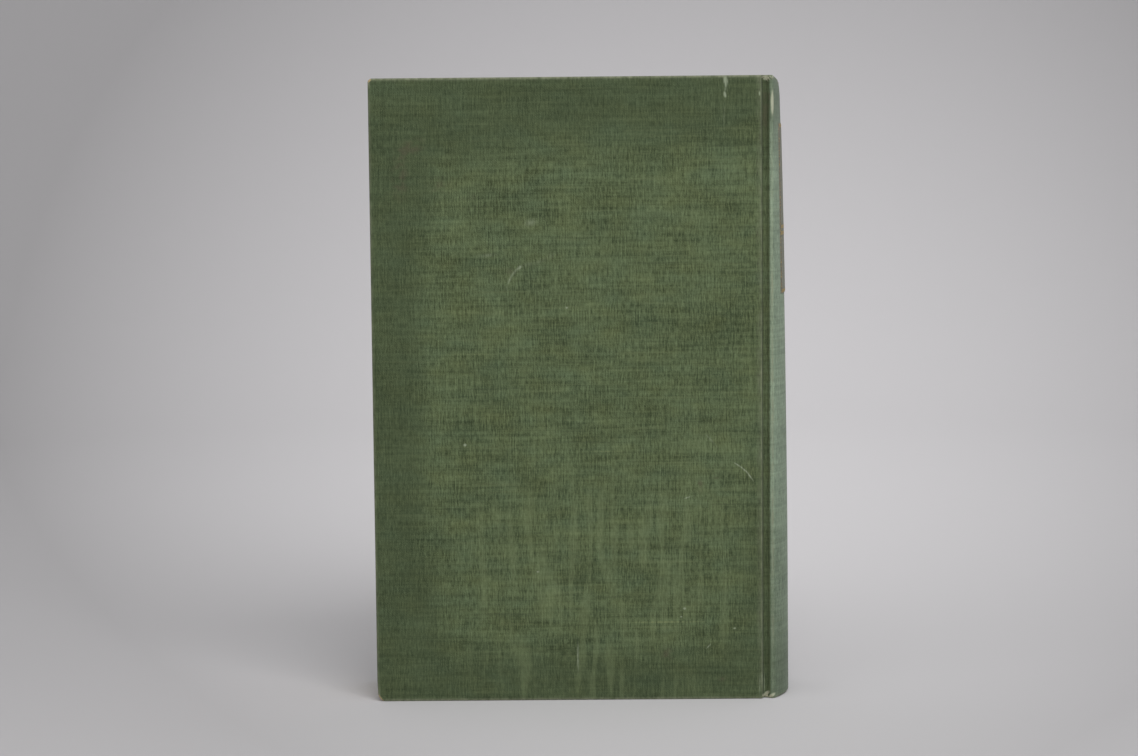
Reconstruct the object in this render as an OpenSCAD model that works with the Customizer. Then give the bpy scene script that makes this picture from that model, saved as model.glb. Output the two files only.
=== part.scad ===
// Cloth-bound hardback book with a rounded and backed spine, standing closed on its tail.
// X runs from the fore edge to the spine, Y from the rear cover to the front cover, Z from tail to head.
// The origin is at the middle of the underside of the closed book.

/* [Leaves] */
// Height of the leaves from tail to head
leaf_h = 228.6; // [180:0.1:300]
// Width of the leaves from the shoulders to the fore edge
leaf_w = 145.6; // [110:0.1:220]
// Thickness of all the leaves pressed together
block_t = 30; // [24:0.5:44]
// Number of folded sections sewn together
section_count = 20; // [12:1:28]
// How far the rounded back stands out past the shoulders
round_depth = 5; // [4:0.1:6]
// How far the fore edge is hollowed
fore_depth = 4; // [2:0.1:6]
// Length of the flare that leads up to each backed shoulder
flare_len = 3; // [2.4:0.1:3.6]
// Thickness of the endpapers, flyleaf and pastedown alike
paper_t = 0.2; // [0.15:0.05:0.3]

/* [Sewing and linings] */
// Diameter of the linen sewing thread
thread_d = 0.5; // [0.3:0.05:0.6]
// Distance of the kettle stitches from the head and tail of the leaves
kettle_inset = 13; // [11:0.5:18]
// Number of stitch pairs between the kettle stitches
stitch_pairs = 3; // [2:1:5]
// Distance between the two rows of a stitch pair
pair_gap = 12; // [8:0.5:16]
// Thickness of the open-weave mull
mull_t = 0.3; // [0.2:0.05:0.4]
// Distance of the mull from the head and tail of the leaves
mull_inset = 14; // [13:0.5:25]
// Width of each mull flap glued to a board
flap_w = 28; // [20:1:40]
// Thickness of the paper lining over the mull
lining_t = 0.3; // [0.2:0.05:0.4]
// Distance of the paper lining from the head and tail of the leaves
lining_inset = 1; // [0.5:0.1:3]
// Radius of the sewn bead of each endband
bead_r = 0.8; // [0.5:0.05:1]
// Length of the endband's tape down the back
band_drop = 8; // [5:0.5:10]

/* [Case] */
// How far the covers stand out past the leaves at head, tail and fore edge
square = 3.2; // [2.6:0.1:5]
// Thickness of each greyboard cover board
board_t = 2.6; // [2.2:0.1:3]
// Thickness of the book cloth
cloth_t = 0.4; // [0.3:0.05:0.5]
// Width of the cloth turned in over the edges of the boards
turn_in = 15; // [12:0.5:20]
// Gap between each flyleaf and its pastedown in the closed book
cover_gap = 0.25; // [0.2:0.05:0.4]
// Radius of the cloth over the long edges of the boards
edge_r = 0.7; // [0.6:0.05:0.9]
// Radius of the corners of the covers at the head
head_corner_r = 1.6; // [1:0.1:4]
// Radius of the rubbed corners of the covers at the tail
tail_corner_r = 3; // [1:0.1:5]
// Width of the open cut line where the turn-ins meet at a corner
mitre_w = 0.3; // [0.2:0.05:0.5]
// Thickness of the card inlay that stiffens the spine
inlay_t = 0.7; // [0.5:0.05:0.8]
// Depth of the hollow between the lined back and the spine inlay
hollow = 0.7; // [0.6:0.05:1]
// Radius of the caps of the spine at head and tail
cap_r = 1; // [0.5:0.05:1.4]

/* [Joint] */
// Depth of the groove between board and spine
groove_depth = 2; // [1.8:0.05:2.3]
// Radius of the ridge of cloth over each shoulder
ridge_r = 1.5; // [1.3:0.05:1.7]
// How far the ridges lie below the faces of the covers
ridge_drop = 0.8; // [0.7:0.05:1]
// How much lower the backed shoulders are than the boards are thick
shoulder_drop = 1; // [0.9:0.05:1.2]
// Slit left between the moving and the fixed half of the groove
joint_gap = 0.2; // [0.1:0.05:0.3]

/* [Label] */
// Height of the leather spine label
label_h = 64; // [40:0.5:90]
// Width of the label across the curve of the spine
label_w = 25; // [16:0.5:28]
// Distance from the head of the case to the label
label_drop = 17.7; // [10:0.1:40]
// Thickness of the label
label_t = 0.35; // [0.25:0.05:0.6]
// Width of each gilt rule on the label
rule_w = 1.3; // [0.8:0.1:2]
// Thickness of the gilt rules
rule_t = 0.08; // [0.05:0.01:0.12]
// Width of the two upright rules along the sides of the label
side_rule_w = 0.6; // [0.4:0.1:1.2]
// Distance of the outer rules from the edges of the label
rule_margin = 0.4; // [0.3:0.1:2]
// Distance of the middle pair of rules from the head of the label
rule_pair_drop = 38.2; // [20:0.1:50]
// Gap between the two rules of the middle pair
rule_pair_gap = 1.1; // [0.6:0.1:2]

/* [Hidden] */
$fn = 64;
LARGE = 180;      // facets of a preview circle for the wide arcs
CUT = 1;          // how far a cutting shape runs past what it cuts

// Heights of the leaves inside the case
case_h = leaf_h + 2 * square;
leaf_z0 = square;
leaf_z1 = square + leaf_h;

// Layers of a cover, from the leaves outwards
leaf_y = block_t / 2;
fly_y = leaf_y + paper_t;
board_y0 = fly_y + cover_gap + paper_t + cloth_t;
board_y1 = board_y0 + board_t;
face_y = board_y1 + cloth_t;

// Backed shoulders and the arc of the back, which share one centre with the linings and the spine
shoulder_h = board_t - shoulder_drop;
shoulder_y = leaf_y + shoulder_h;
back_r = (shoulder_y * shoulder_y + round_depth * round_depth) / (2 * round_depth);
back_x = round_depth - back_r;
back_a = asin(shoulder_y / back_r);
flare_r = (flare_len * flare_len + shoulder_h * shoulder_h) / (2 * shoulder_h);
fore_r = (leaf_y * leaf_y + fore_depth * fore_depth) / (2 * fore_depth);
section_a = 2 * back_a / section_count;
fold_r = 1.04 * back_r * section_a * PI / 360;
mull_r = back_r + mull_t;
lining_r = mull_r + lining_t;
inlay_r0 = lining_r + hollow;
inlay_r1 = inlay_r0 + inlay_t;
spine_r = inlay_r1 + cloth_t;

// Ridge and groove of the cloth, as arcs that run into each other
ridge_y = face_y - ridge_drop - ridge_r;
ridge_x = back_x + sqrt(pow(spine_r - ridge_r, 2) - ridge_y * ridge_y);
ridge_a = atan2(ridge_y, ridge_x - back_x);
groove_r = groove_depth - edge_r;
groove_y = face_y - edge_r;
groove_x = ridge_x - sqrt(pow(ridge_r + groove_r, 2) - pow(groove_y - ridge_y, 2));
slope_a = atan2(groove_y - ridge_y, groove_x - ridge_x);

// Ends of the boards
board_x1 = groove_x - groove_r - cloth_t;
board_x0 = -leaf_w - square + cloth_t;

// Middle of the closed book along X, where the origin lies
spine_x = back_x + spine_r + label_t + rule_t;
fore_x = -leaf_w - square;
mid_x = (spine_x + fore_x) / 2;

module in_frame() {
    translate([-mid_x, 0, 0]) children();
}

module rear_side() {
    mirror([0, 1, 0]) children();
}

// Ring sector about the origin between two angles that are less than 120 degrees apart
module sector(r_in, r_out, from, to) {
    middle = (from + to) / 2;
    reach = 2.2 * r_out;
    intersection() {
        difference() {
            circle(r_out);
            circle(r_in);
        }
        polygon([
            [0, 0],
            reach * [cos(from), sin(from)],
            reach * [cos(middle), sin(middle)],
            reach * [cos(to), sin(to)]
        ]);
    }
}

// Layer that lies round the back, as far as an angle to both sides
module back_layer(r_in, r_out, half_a, z0, z1) {
    translate([back_x, 0, z0])
        linear_extrude(z1 - z0)
            sector(r_in, r_out, -half_a, half_a, $fn = LARGE);
}

// Box between two corners
module span(low, high) {
    translate(low) cube(high - low);
}

// Rectangle from the origin with one radius at its two low-y corners and another at its two high-y ones
module rounded_rect(w, h, r_low, r_high) {
    difference() {
        square([w, h]);
        for (side = [0, 1], end = [0, 1]) {
            r = end == 0 ? r_low : r_high;
            translate([side * w, end * h])
                mirror([side, 0])
                    mirror([0, end])
                        corner_waste(r);
        }
    }
}

// What a rounded corner at the origin loses
module corner_waste(r) {
    difference() {
        translate([-CUT, -CUT]) square(r + CUT);
        translate([r, r]) circle(r);
    }
}

// Slab of a cover with rubbed corners, rounded along all its long edges on the outside
module cover_slab(x0, x1, y0, y1, z0, z1, r, r_tail, r_head) {
    w = x1 - x0;
    t = y1 - y0;
    h = z1 - z0;
    intersection() {
        // Face of the cover: the fore-edge corners are rubbed round, the joint corners stay square
        translate([x0, y1 + CUT, z0])
            rotate([90, 0, 0])
                linear_extrude(t + 2 * CUT)
                    union() {
                        rounded_rect(w, h, r_tail, r_head);
                        translate([w / 2, 0]) square([w / 2, h]);
                    }
        // Section through the fore edge and the joint edge
        translate([x0, y0, z0 - CUT])
            linear_extrude(h + 2 * CUT)
                rounded_rect(w, t, r / 2, r);
        // Section through head and tail
        translate([x1 + CUT, y0, z0])
            rotate([0, -90, 0])
                linear_extrude(w + 2 * CUT)
                    rounded_rect(h, t, r / 2, r);
    }
}

module block_outline() {
    difference() {
        union() {
            translate([-leaf_w, -leaf_y]) square([leaf_w, block_t]);
            // Ends of the outer leaves, as far as the shoulders
            translate([-flare_len, -shoulder_y]) square([flare_len, 2 * shoulder_y]);
            // Folded backs of the sections, laid side by side round the back
            translate([back_x, 0]) {
                sector(back_r / 2, back_r - fold_r / 2, -back_a, back_a, $fn = LARGE);
                for (i = [0 : section_count - 1]) {
                    rotate((i + 0.5) * section_a - back_a)
                        translate([back_r - fold_r, 0])
                            circle(fold_r);
                }
            }
        }
        // Flares of the backed shoulders
        for (side = [-1, 1]) {
            translate([-flare_len, side * (leaf_y + flare_r)]) circle(flare_r, $fn = LARGE);
        }
        // Hollow of the fore edge
        translate([fore_depth - leaf_w - fore_r, 0]) circle(fore_r, $fn = LARGE);
    }
}

// Heights of the rows of sewing across the back
function pair_z(i) = leaf_z0 + kettle_inset + (leaf_h - 2 * kettle_inset) * (i + 1) / (stitch_pairs + 1);
stitch_rows = concat(
    [leaf_z0 + kettle_inset, leaf_z1 - kettle_inset],
    [for (i = [0 : stitch_pairs - 1], side = [-1, 1]) pair_z(i) + side * pair_gap / 2]
);
kerf_w = 1.5 * thread_d;
kerf_depth = fold_r / 2 + thread_d;
thread_r = back_r - kerf_depth + 0.55 * thread_d;
thread_a = back_a - section_a;

module text_block() {
    color("ivory") in_frame() difference() {
        translate([0, 0, leaf_z0]) linear_extrude(leaf_h) block_outline();
        // Kerfs in the folds, which hold the thread
        for (z = stitch_rows) {
            back_layer(back_r - kerf_depth, back_r + CUT, back_a, z - kerf_w / 2, z + kerf_w / 2);
        }
    }
}

module sewing_thread() {
    color("wheat") in_frame() for (z = stitch_rows) {
        translate([back_x, 0, z])
            rotate([0, 0, -thread_a])
                rotate_extrude(angle = 2 * thread_a, $fn = LARGE)
                    translate([thread_r, 0]) circle(d = thread_d, $fn = 24);
    }
}

module spine_mull() {
    color("antiquewhite") in_frame()
        back_layer(back_r, mull_r, back_a - section_a / 2, leaf_z0 + mull_inset, leaf_z1 - mull_inset);
}

// Endband as it sits at the head: a bead on the edges of the leaves and a tape down the back
module end_band() {
    band_a = back_a - section_a / 2;
    union() {
        back_layer(back_r, mull_r, band_a, leaf_z1 - band_drop, leaf_z1 + bead_r);
        translate([back_x, 0, leaf_z1 + bead_r])
            rotate([0, 0, -band_a])
                rotate_extrude(angle = 2 * band_a, $fn = LARGE)
                    translate([mull_r - bead_r, 0]) circle(bead_r, $fn = 32);
    }
}

module head_band() {
    color("firebrick") in_frame() end_band();
}

module tail_band() {
    color("firebrick") in_frame() translate([0, 0, case_h]) mirror([0, 0, 1]) end_band();
}

module spine_lining() {
    color("tan") in_frame()
        back_layer(mull_r, lining_r, back_a - section_a, leaf_z0 + lining_inset, leaf_z1 - lining_inset);
}

// Free leaf of the endpaper: flat on the leaves, then up the flare almost to the shoulder
module flyleaf() {
    fly_a = asin((flare_len - 2 * paper_t) / flare_r);
    translate([0, 0, leaf_z0]) linear_extrude(leaf_h) union() {
        translate([-leaf_w, leaf_y]) square([leaf_w - flare_len, paper_t]);
        translate([-flare_len, leaf_y + flare_r])
            sector(flare_r - paper_t, flare_r, -90, fly_a - 90, $fn = LARGE);
    }
}

module front_flyleaf() {
    color("linen") in_frame() flyleaf();
}

module rear_flyleaf() {
    color("linen") in_frame() rear_side() flyleaf();
}

module spine_inlay() {
    color("gray") in_frame()
        back_layer(inlay_r0, inlay_r1, ridge_a - section_a, cloth_t, case_h - cloth_t);
}

// Cloth of the spine in section: the round back, a ridge over each shoulder and half of each groove
module spine_cloth_outline() {
    translate([back_x, 0]) sector(inlay_r1, spine_r, -ridge_a, ridge_a, $fn = LARGE);
    for (side = [0, 1]) mirror([0, side]) {
        translate([ridge_x, ridge_y]) sector(ridge_r - cloth_t, ridge_r, ridge_a, slope_a);
        intersection() {
            translate([groove_x, groove_y]) sector(groove_r, groove_r + cloth_t, -90, slope_a - 180);
            translate([groove_x + joint_gap / 2, 0]) square(face_y);
        }
    }
}

module spine_cloth() {
    turned_a = ridge_a - section_a;
    color("darkolivegreen") in_frame() difference() {
        union() {
            linear_extrude(case_h) spine_cloth_outline();
            // Cloth turned in over the ends of the inlay
            for (end = [0, 1]) translate([0, 0, end * case_h]) mirror([0, 0, end]) {
                back_layer(inlay_r0 - cloth_t, (inlay_r1 + spine_r) / 2, turned_a, 0, cloth_t);
                back_layer(inlay_r0 - cloth_t, inlay_r0, turned_a, 0, turn_in);
            }
        }
        // Rounded caps at head and tail
        for (end = [0, 1]) translate([back_x, 0, end * case_h]) mirror([0, 0, end]) {
            rotate_extrude($fn = LARGE)
                translate([spine_r, 0]) mirror([1, 0]) corner_waste(cap_r);
        }
    }
}

label_z1 = case_h - label_drop;
label_z0 = label_z1 - label_h;
label_r = spine_r + label_t;
label_a = arc_angle(label_w / 2, spine_r);
rule_a = label_a - arc_angle(rule_margin, label_r);
side_rule_a = rule_a - arc_angle(side_rule_w, label_r);

// Angle that a length takes up on an arc
function arc_angle(length, radius) = length / radius * 180 / PI;

module spine_label() {
    color("#4a423c") in_frame() back_layer(spine_r, label_r, label_a, label_z0, label_z1);
}

// Gilt frame round the label, with a pair of rules across its middle
module label_rules() {
    top = label_z1 - rule_margin;
    bottom = label_z0 + rule_margin;
    pair_top = label_z1 - rule_pair_drop;
    panel_tops = [top - rule_w, pair_top - rule_w, pair_top - 2 * rule_w - rule_pair_gap];
    panel_bottoms = [pair_top, pair_top - rule_w - rule_pair_gap, bottom + rule_w];
    color("darkgoldenrod") in_frame() difference() {
        back_layer(label_r, label_r + rule_t, rule_a, bottom, top);
        for (i = [0 : len(panel_tops) - 1]) {
            back_layer(label_r - CUT, label_r + CUT, side_rule_a, panel_bottoms[i], panel_tops[i]);
        }
    }
}

module board() {
    cover_slab(board_x0, board_x1, board_y0, board_y1, cloth_t, case_h - cloth_t,
        edge_r - cloth_t, tail_corner_r - cloth_t, head_corner_r - cloth_t);
}

module front_board() {
    color("darkgray") in_frame() board();
}

module rear_board() {
    color("darkgray") in_frame() rear_side() board();
}

// Cloth of a cover: over the board, round its edges, turned in on the inside and down into the groove
module cover_cloth() {
    difference() {
        union() {
            cover_slab(fore_x, board_x1 + cloth_t, board_y0 - cloth_t, face_y, 0, case_h,
                edge_r, tail_corner_r, head_corner_r);
            // Half of the groove
            intersection() {
                translate([groove_x, groove_y, 0])
                    linear_extrude(case_h)
                        sector(groove_r, groove_r + cloth_t, -180, -90);
                span([board_x1 - CUT, 0, -CUT], [groove_x - joint_gap / 2, face_y, case_h + CUT]);
            }
        }
        board();
        // Open end at the joint, where the board shows nothing but the hinge
        difference() {
            span([board_x1, 0, -CUT], [board_x1 + cloth_t + CUT, groove_y, case_h + CUT]);
            translate([groove_x, groove_y, -CUT]) cylinder(r = groove_r + cloth_t, h = case_h + 2 * CUT);
        }
        span([board_x1 - edge_r, board_y0, cloth_t], [board_x1, board_y1 - edge_r, case_h - cloth_t]);
        // Window inside the turn-ins
        span([board_x0 + turn_in, 0, turn_in], [board_x1 + CUT, board_y0, case_h - turn_in]);
        // Cut lines where the turn-ins meet at the corners
        for (end = [0, 1]) translate([fore_x, 0, end * case_h]) mirror([0, 0, end]) {
            rotate([0, -45, 0])
                span([edge_r + tail_corner_r, 0, -mitre_w / 2], [2 * turn_in, board_y0 - cloth_t / 2, mitre_w / 2]);
        }
    }
}

module front_cloth() {
    color("darkolivegreen") in_frame() cover_cloth();
}

module rear_cloth() {
    color("darkolivegreen") in_frame() rear_side() cover_cloth();
}

// Mull flap on the inside of a board
flap_z0 = leaf_z0 + mull_inset;
flap_z1 = leaf_z1 - mull_inset;

module mull_flap() {
    span([board_x1 - flap_w, board_y0 - mull_t, flap_z0], [board_x1, board_y0, flap_z1]);
}

module front_mull_flap() {
    color("antiquewhite") in_frame() mull_flap();
}

module rear_mull_flap() {
    color("antiquewhite") in_frame() rear_side() mull_flap();
}

// Pasted leaf of the endpaper: it runs over the turn-ins, sinks to the board and rises over the mull
module pastedown() {
    turned_y = board_y0 - cloth_t;
    window_x0 = board_x0 + turn_in;
    window_z0 = turn_in;
    window_z1 = case_h - turn_in;
    difference() {
        union() {
            span([-leaf_w, turned_y - paper_t, leaf_z0], [board_x1, turned_y, leaf_z1]);
            span([window_x0, turned_y - paper_t, window_z0], [board_x1, board_y0, window_z1]);
        }
        mull_flap();
        // Hollow of the sheet over the board
        span([window_x0 + paper_t, 0, window_z0 + paper_t],
            [board_x1 - flap_w - paper_t, board_y0 - paper_t, window_z1 - paper_t]);
        // Shallower hollow over the mull flap
        span([window_x0 + paper_t, 0, window_z0 + paper_t],
            [board_x1 + CUT, board_y0 - mull_t - paper_t, window_z1 - paper_t]);
    }
}

module front_pastedown() {
    color("linen") in_frame() pastedown();
}

module rear_pastedown() {
    color("linen") in_frame() rear_side() pastedown();
}

text_block();
sewing_thread();
spine_mull();
head_band();
tail_band();
spine_lining();
front_flyleaf();
rear_flyleaf();
spine_inlay();
spine_cloth();
spine_label();
label_rules();
front_board();
front_cloth();
front_mull_flap();
front_pastedown();
rear_board();
rear_cloth();
rear_mull_flap();
rear_pastedown();
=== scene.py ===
# %% [markdown]
# An old hardback bound in green cloth, standing closed on its tail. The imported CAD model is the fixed
# frame. It says where every piece lies and which cover turns about which joint. Here each piece gets the
# surface a reader would see: woven cloth folded over the boards, folded sheets of paper, gilt on leather,
# and the light of a plain studio.

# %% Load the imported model
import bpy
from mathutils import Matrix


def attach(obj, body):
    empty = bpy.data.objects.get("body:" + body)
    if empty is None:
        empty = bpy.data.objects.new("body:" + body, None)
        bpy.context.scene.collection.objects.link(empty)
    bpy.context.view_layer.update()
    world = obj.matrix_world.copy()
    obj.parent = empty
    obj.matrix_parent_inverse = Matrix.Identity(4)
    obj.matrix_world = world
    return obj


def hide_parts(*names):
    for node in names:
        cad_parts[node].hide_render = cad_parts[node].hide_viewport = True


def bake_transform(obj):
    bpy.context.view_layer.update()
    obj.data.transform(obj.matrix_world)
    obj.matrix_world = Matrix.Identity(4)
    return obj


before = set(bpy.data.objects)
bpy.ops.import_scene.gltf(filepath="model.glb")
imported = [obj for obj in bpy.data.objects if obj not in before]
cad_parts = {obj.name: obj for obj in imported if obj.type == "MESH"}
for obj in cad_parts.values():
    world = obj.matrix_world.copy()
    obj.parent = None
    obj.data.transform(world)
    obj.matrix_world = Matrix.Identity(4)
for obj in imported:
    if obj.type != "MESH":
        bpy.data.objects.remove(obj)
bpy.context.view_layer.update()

# %% [markdown]
# The book is measured as a binder measures it, in millimetres from the line through the shoulders of the
# leaves. u runs towards the spine, y from the middle of the book to the front cover, z from tail to head. A
# few values are chosen, and the rest follow from them, as each layer of a real case follows from the one
# beneath it.

# %% Measures of the book
import math
import random

import bmesh
import bpy
from mathutils import Matrix, Vector, noise

MM = 0.001
LEAF_W, LEAF_H, BLOCK_T = 145.6, 228.6, 30.0
SQUARE = 3.2                        # how far the covers reach past the leaves
BOARD_T, CLOTH_T, PAPER_T, COVER_GAP = 2.6, 0.4, 0.2, 0.25
CASE_H = LEAF_H + 2 * SQUARE
LEAF_Z0, LEAF_Z1 = SQUARE, SQUARE + LEAF_H
FORE_X = -LEAF_W - SQUARE
LEAF_Y = BLOCK_T / 2
BOARD_Y0 = LEAF_Y + COVER_GAP + 2 * PAPER_T + CLOTH_T
FACE_Y = BOARD_Y0 + BOARD_T + CLOTH_T
TURNED_Y = BOARD_Y0 - CLOTH_T
print("height and thickness of the case, mm:", round(CASE_H, 1), round(2 * FACE_Y, 1))

# %% The round back and the layers behind it
MULL_T, LINING_T, HOLLOW, INLAY_T = 0.3, 0.3, 0.7, 0.7
ROUND_DEPTH = 5.0                   # how far the hammer has pushed the middle of the back out
SHOULDER_H = BOARD_T - 1.0          # the shoulders stand a little lower than the boards are thick
SHOULDER_Y = LEAF_Y + SHOULDER_H
BACK_R = (SHOULDER_Y ** 2 + ROUND_DEPTH ** 2) / (2 * ROUND_DEPTH)
BACK_X = ROUND_DEPTH - BACK_R
BACK_A = math.degrees(math.asin(SHOULDER_Y / BACK_R))
MULL_R = BACK_R + MULL_T
LINING_R = MULL_R + LINING_T
INLAY_R0 = LINING_R + HOLLOW
INLAY_R1 = INLAY_R0 + INLAY_T
SPINE_R = INLAY_R1 + CLOTH_T
print("radius of the back and of the spine, mm:", round(BACK_R, 2), round(SPINE_R, 2))

# %% The ridge and the groove, as arcs that run into each other
RIDGE_R, RIDGE_DROP, GROOVE_DEPTH, EDGE_R = 1.5, 0.8, 2.0, 0.7
RIDGE_Y = FACE_Y - RIDGE_DROP - RIDGE_R
RIDGE_X = BACK_X + math.sqrt((SPINE_R - RIDGE_R) ** 2 - RIDGE_Y ** 2)
RIDGE_A = math.degrees(math.atan2(RIDGE_Y, RIDGE_X - BACK_X))
GROOVE_R = GROOVE_DEPTH - EDGE_R
GROOVE_Y = FACE_Y - EDGE_R
GROOVE_X = RIDGE_X - math.sqrt((RIDGE_R + GROOVE_R) ** 2 - (GROOVE_Y - RIDGE_Y) ** 2)
SLOPE_A = math.degrees(math.atan2(GROOVE_Y - RIDGE_Y, GROOVE_X - RIDGE_X))
WALL_X = GROOVE_X - GROOVE_R        # the edge of the board, with its cloth
print("centres of ridge and groove, mm:", [round(x, 2) for x in (RIDGE_X, RIDGE_Y, GROOVE_X, GROOVE_Y)])

# %% [markdown]
# One function takes a point of the book to the frame, whose origin is in the middle of the closed book. It
# also gives the old book its lean: the round of the spine has sunk at the head and swelled at the tail, so
# everything past the ridge is drawn in or pushed out a little.

# %% From the book to the frame
LABEL_T, RULE_T = 0.35, 0.08
MIDDLE_X = (BACK_X + SPINE_R + LABEL_T + RULE_T + FORE_X) / 2
CAP_SPAN = BACK_X + SPINE_R - RIDGE_X
SPINE_SWELL, SPINE_SINK = 1.14, 0.51


def lean(u, z):
    """Draws the round of the spine in at the head and out at the tail."""
    if u <= RIDGE_X:
        return u
    return RIDGE_X + (u - RIDGE_X) * (SPINE_SWELL - SPINE_SINK * (z / CASE_H) ** 2)


def frame_point(point):
    u, y, z = point
    return Vector((lean(u, z) - MIDDLE_X, y, z)) * MM


def polar(x, y, radius, degrees):
    a = math.radians(degrees)
    return (x + radius * math.cos(a), y + radius * math.sin(a))


for end, z in (("tail", 0), ("head", CASE_H)):
    print(f"spine at the {end}, mm past the ridge:", round(lean(BACK_X + SPINE_R, z) - RIDGE_X, 2))

# %% [markdown]
# Every piece is made the same way: a list of points, the faces between them, a flat place for each point on
# the uncut sheet, and a few masks that say where the surface is rubbed or faded. The flat places are a UV
# map in metres, so a weave drawn on it has its real size and stays on the cloth when a cover turns.

# %% Make a piece
def make_piece(name, points, faces, flat, masks=None, thickness=0.0, sharp=50):
    """points in mm, flat gives each point's place on the uncut sheet in mm, thickness grows inwards."""
    masks = masks or {}
    bm = bmesh.new()
    layers = {key: bm.verts.layers.float.new(key) for key in masks}
    cut = bm.loops.layers.uv.new("cut")
    verts = []
    for i, point in enumerate(points):
        vert = bm.verts.new(frame_point(point))
        for key, layer in layers.items():
            vert[layer] = masks[key][i]
        verts.append(vert)
    for corners in faces:
        if len(set(corners)) < 3:
            continue
        face = bm.faces.new([verts[i] for i in corners])
        face.smooth = True
        for loop, i in zip(face.loops, corners):
            loop[cut].uv = (flat[i][0] * MM, flat[i][1] * MM)
    bmesh.ops.remove_doubles(bm, verts=bm.verts, dist=1e-7)
    bmesh.ops.delete(bm, geom=[v for v in bm.verts if not v.link_faces], context="VERTS")
    mesh = bpy.data.meshes.new(name)
    bm.to_mesh(mesh)
    bm.free()
    piece = bpy.data.objects.new(name, mesh)
    bpy.context.scene.collection.objects.link(piece)
    if thickness:
        solid = piece.modifiers.new("thickness", "SOLIDIFY")
        solid.thickness = thickness * MM
        solid.offset = -1
        graph = bpy.context.evaluated_depsgraph_get()
        piece.data = bpy.data.meshes.new_from_object(piece.evaluated_get(graph))
        piece.modifiers.clear()
    piece.data.set_sharp_from_angle(angle=math.radians(sharp))
    print(f"{name}: {len(piece.data.polygons)} faces")
    return piece


def stand_for(piece, node):
    """Lets a piece ride with the leaves in place of a node of the CAD model."""
    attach(piece, "block")
    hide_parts(node)


# %% Faces of a grid
def grid_faces(columns, rows, start=0, flip=False, ring=False):
    """Faces of a grid whose points are listed column by column."""
    faces = []
    for i in range(columns if ring else columns - 1):
        for j in range(rows - 1):
            a = start + i * rows + j
            b = start + (i + 1) % columns * rows + j
            quad = (a, b, b + 1, a + 1)
            faces.append(quad[::-1] if flip else quad)
    return faces


def joined(parts):
    """Several sets of points, faces and flat places as one."""
    points, faces, flat = [], [], []
    for new_points, new_faces, new_flat in parts:
        faces += [tuple(len(points) + i for i in face) for face in new_faces]
        points += new_points
        flat += new_flat
    return points, faces, flat


def smoothstep(x):
    x = min(max(x, 0.0), 1.0)
    return x * x * (3 - 2 * x)


print("faces of a grid of 3 by 4 points:", len(grid_faces(3, 4)))

# %% [markdown]
# Colours are written as a designer writes them, in sRGB hex, and one function turns them to the linear
# light that Blender works with. One more function adds a node: its inputs may be numbers, colours or the
# outputs of other nodes.

# %% Colour and nodes
def linear(hex_colour):
    channels = [int(hex_colour[i:i + 2], 16) / 255 for i in (1, 3, 5)]
    return [c / 12.92 if c <= 0.04045 else ((c + 0.055) / 1.055) ** 2.4 for c in channels] + [1.0]


def new_material(name):
    material = bpy.data.materials.new(name)
    material.use_nodes = True
    material.node_tree.nodes.clear()
    return material, material.node_tree


def add_node(tree, kind, inputs=None, **settings):
    """Adds a node. A socket given as an input is linked, anything else is set on the node's own socket."""
    node = tree.nodes.new("ShaderNode" + kind)
    for key, value in settings.items():
        setattr(node, key, value)
    for key, value in (inputs or {}).items():
        if isinstance(value, bpy.types.NodeSocket):
            tree.links.new(value, node.inputs[key])
        else:
            node.inputs[key].default_value = value
    return node


print("mid grey in linear light:", round(linear("#808080")[0], 3))

# %% [markdown]
# The case is one sheet of cloth glued over two boards and a strip of card. Its section is a chain of arcs
# that run into each other: the round spine, the ridge over each shoulder, the groove, and the edge of the
# board. At head and tail the sheet folds over and is turned in by 15 mm. One function gives the section of
# that fold, so all the pieces of cloth meet along the same line.

# %% The fold of the cloth
TURN_IN = 15.0
FACE_START = 3.0                    # the fold is drawn from this far inside the edge
FOLD_ARC, TURN_ARC = 5, 3           # steps of the arc on the outside of the fold and of the one on the inside
TURN_R = 0.45                       # radius of the fold on the inside


def fold_section(depth):
    """Steps from the face to the end of the turn-in: distance from the edge, depth, length of cloth used."""
    outer = min(EDGE_R, depth / 2)
    inner = min(TURN_R, depth / 2)
    steps = [(FACE_START, 0.0), (2.0, 0.0), (1.2, 0.0)]
    for k in range(FOLD_ARC + 1):
        x, y = polar(0, 0, outer, 90 * k / FOLD_ARC)
        steps.append((outer - y, outer - x))
    steps.append((0.0, depth - inner))
    for k in range(1, TURN_ARC + 1):
        x, y = polar(0, 0, inner, 90 * k / TURN_ARC)
        steps.append((inner - x, depth - inner + y))
    steps += [(3.0, depth), (8.0, depth), (TURN_IN, depth)]
    used, result = 0.0, []
    for k, step in enumerate(steps):
        if k:
            used += math.dist(step, steps[k - 1])
        result.append((*step, used))
    return result


def mitred(steps, most):
    """The same fold with its turned-in part cut short at a corner."""
    return [(min(d, most), h, used - max(0.0, d - most)) if h > EDGE_R else (d, h, used)
            for d, h, used in steps]


print("cloth used by the fold over a board, mm:", round(fold_section(BOARD_T + 2 * CLOTH_T)[-1][2], 1))

# %% One column of cloth
FACE_ROWS = 92
FOLD_RUB = [0.0, 0.04, 0.12, 0.5, 0.8, 1.0, 1.0, 0.9, 0.75, 0.45, 0.4, 0.3, 0.2, 0.05, 0.0, 0.0]
HEAD_DROP = 1.7                     # how far the cap has worn down in the middle of the head
TAIL_LIFT = 0.25
CAP_LENGTH, CAP_SINK = 5.0, 1.2     # the cap leans in by this much over this length
RUB_UNEVEN = 0.7                    # how much the rubbing of an edge varies along it


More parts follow.
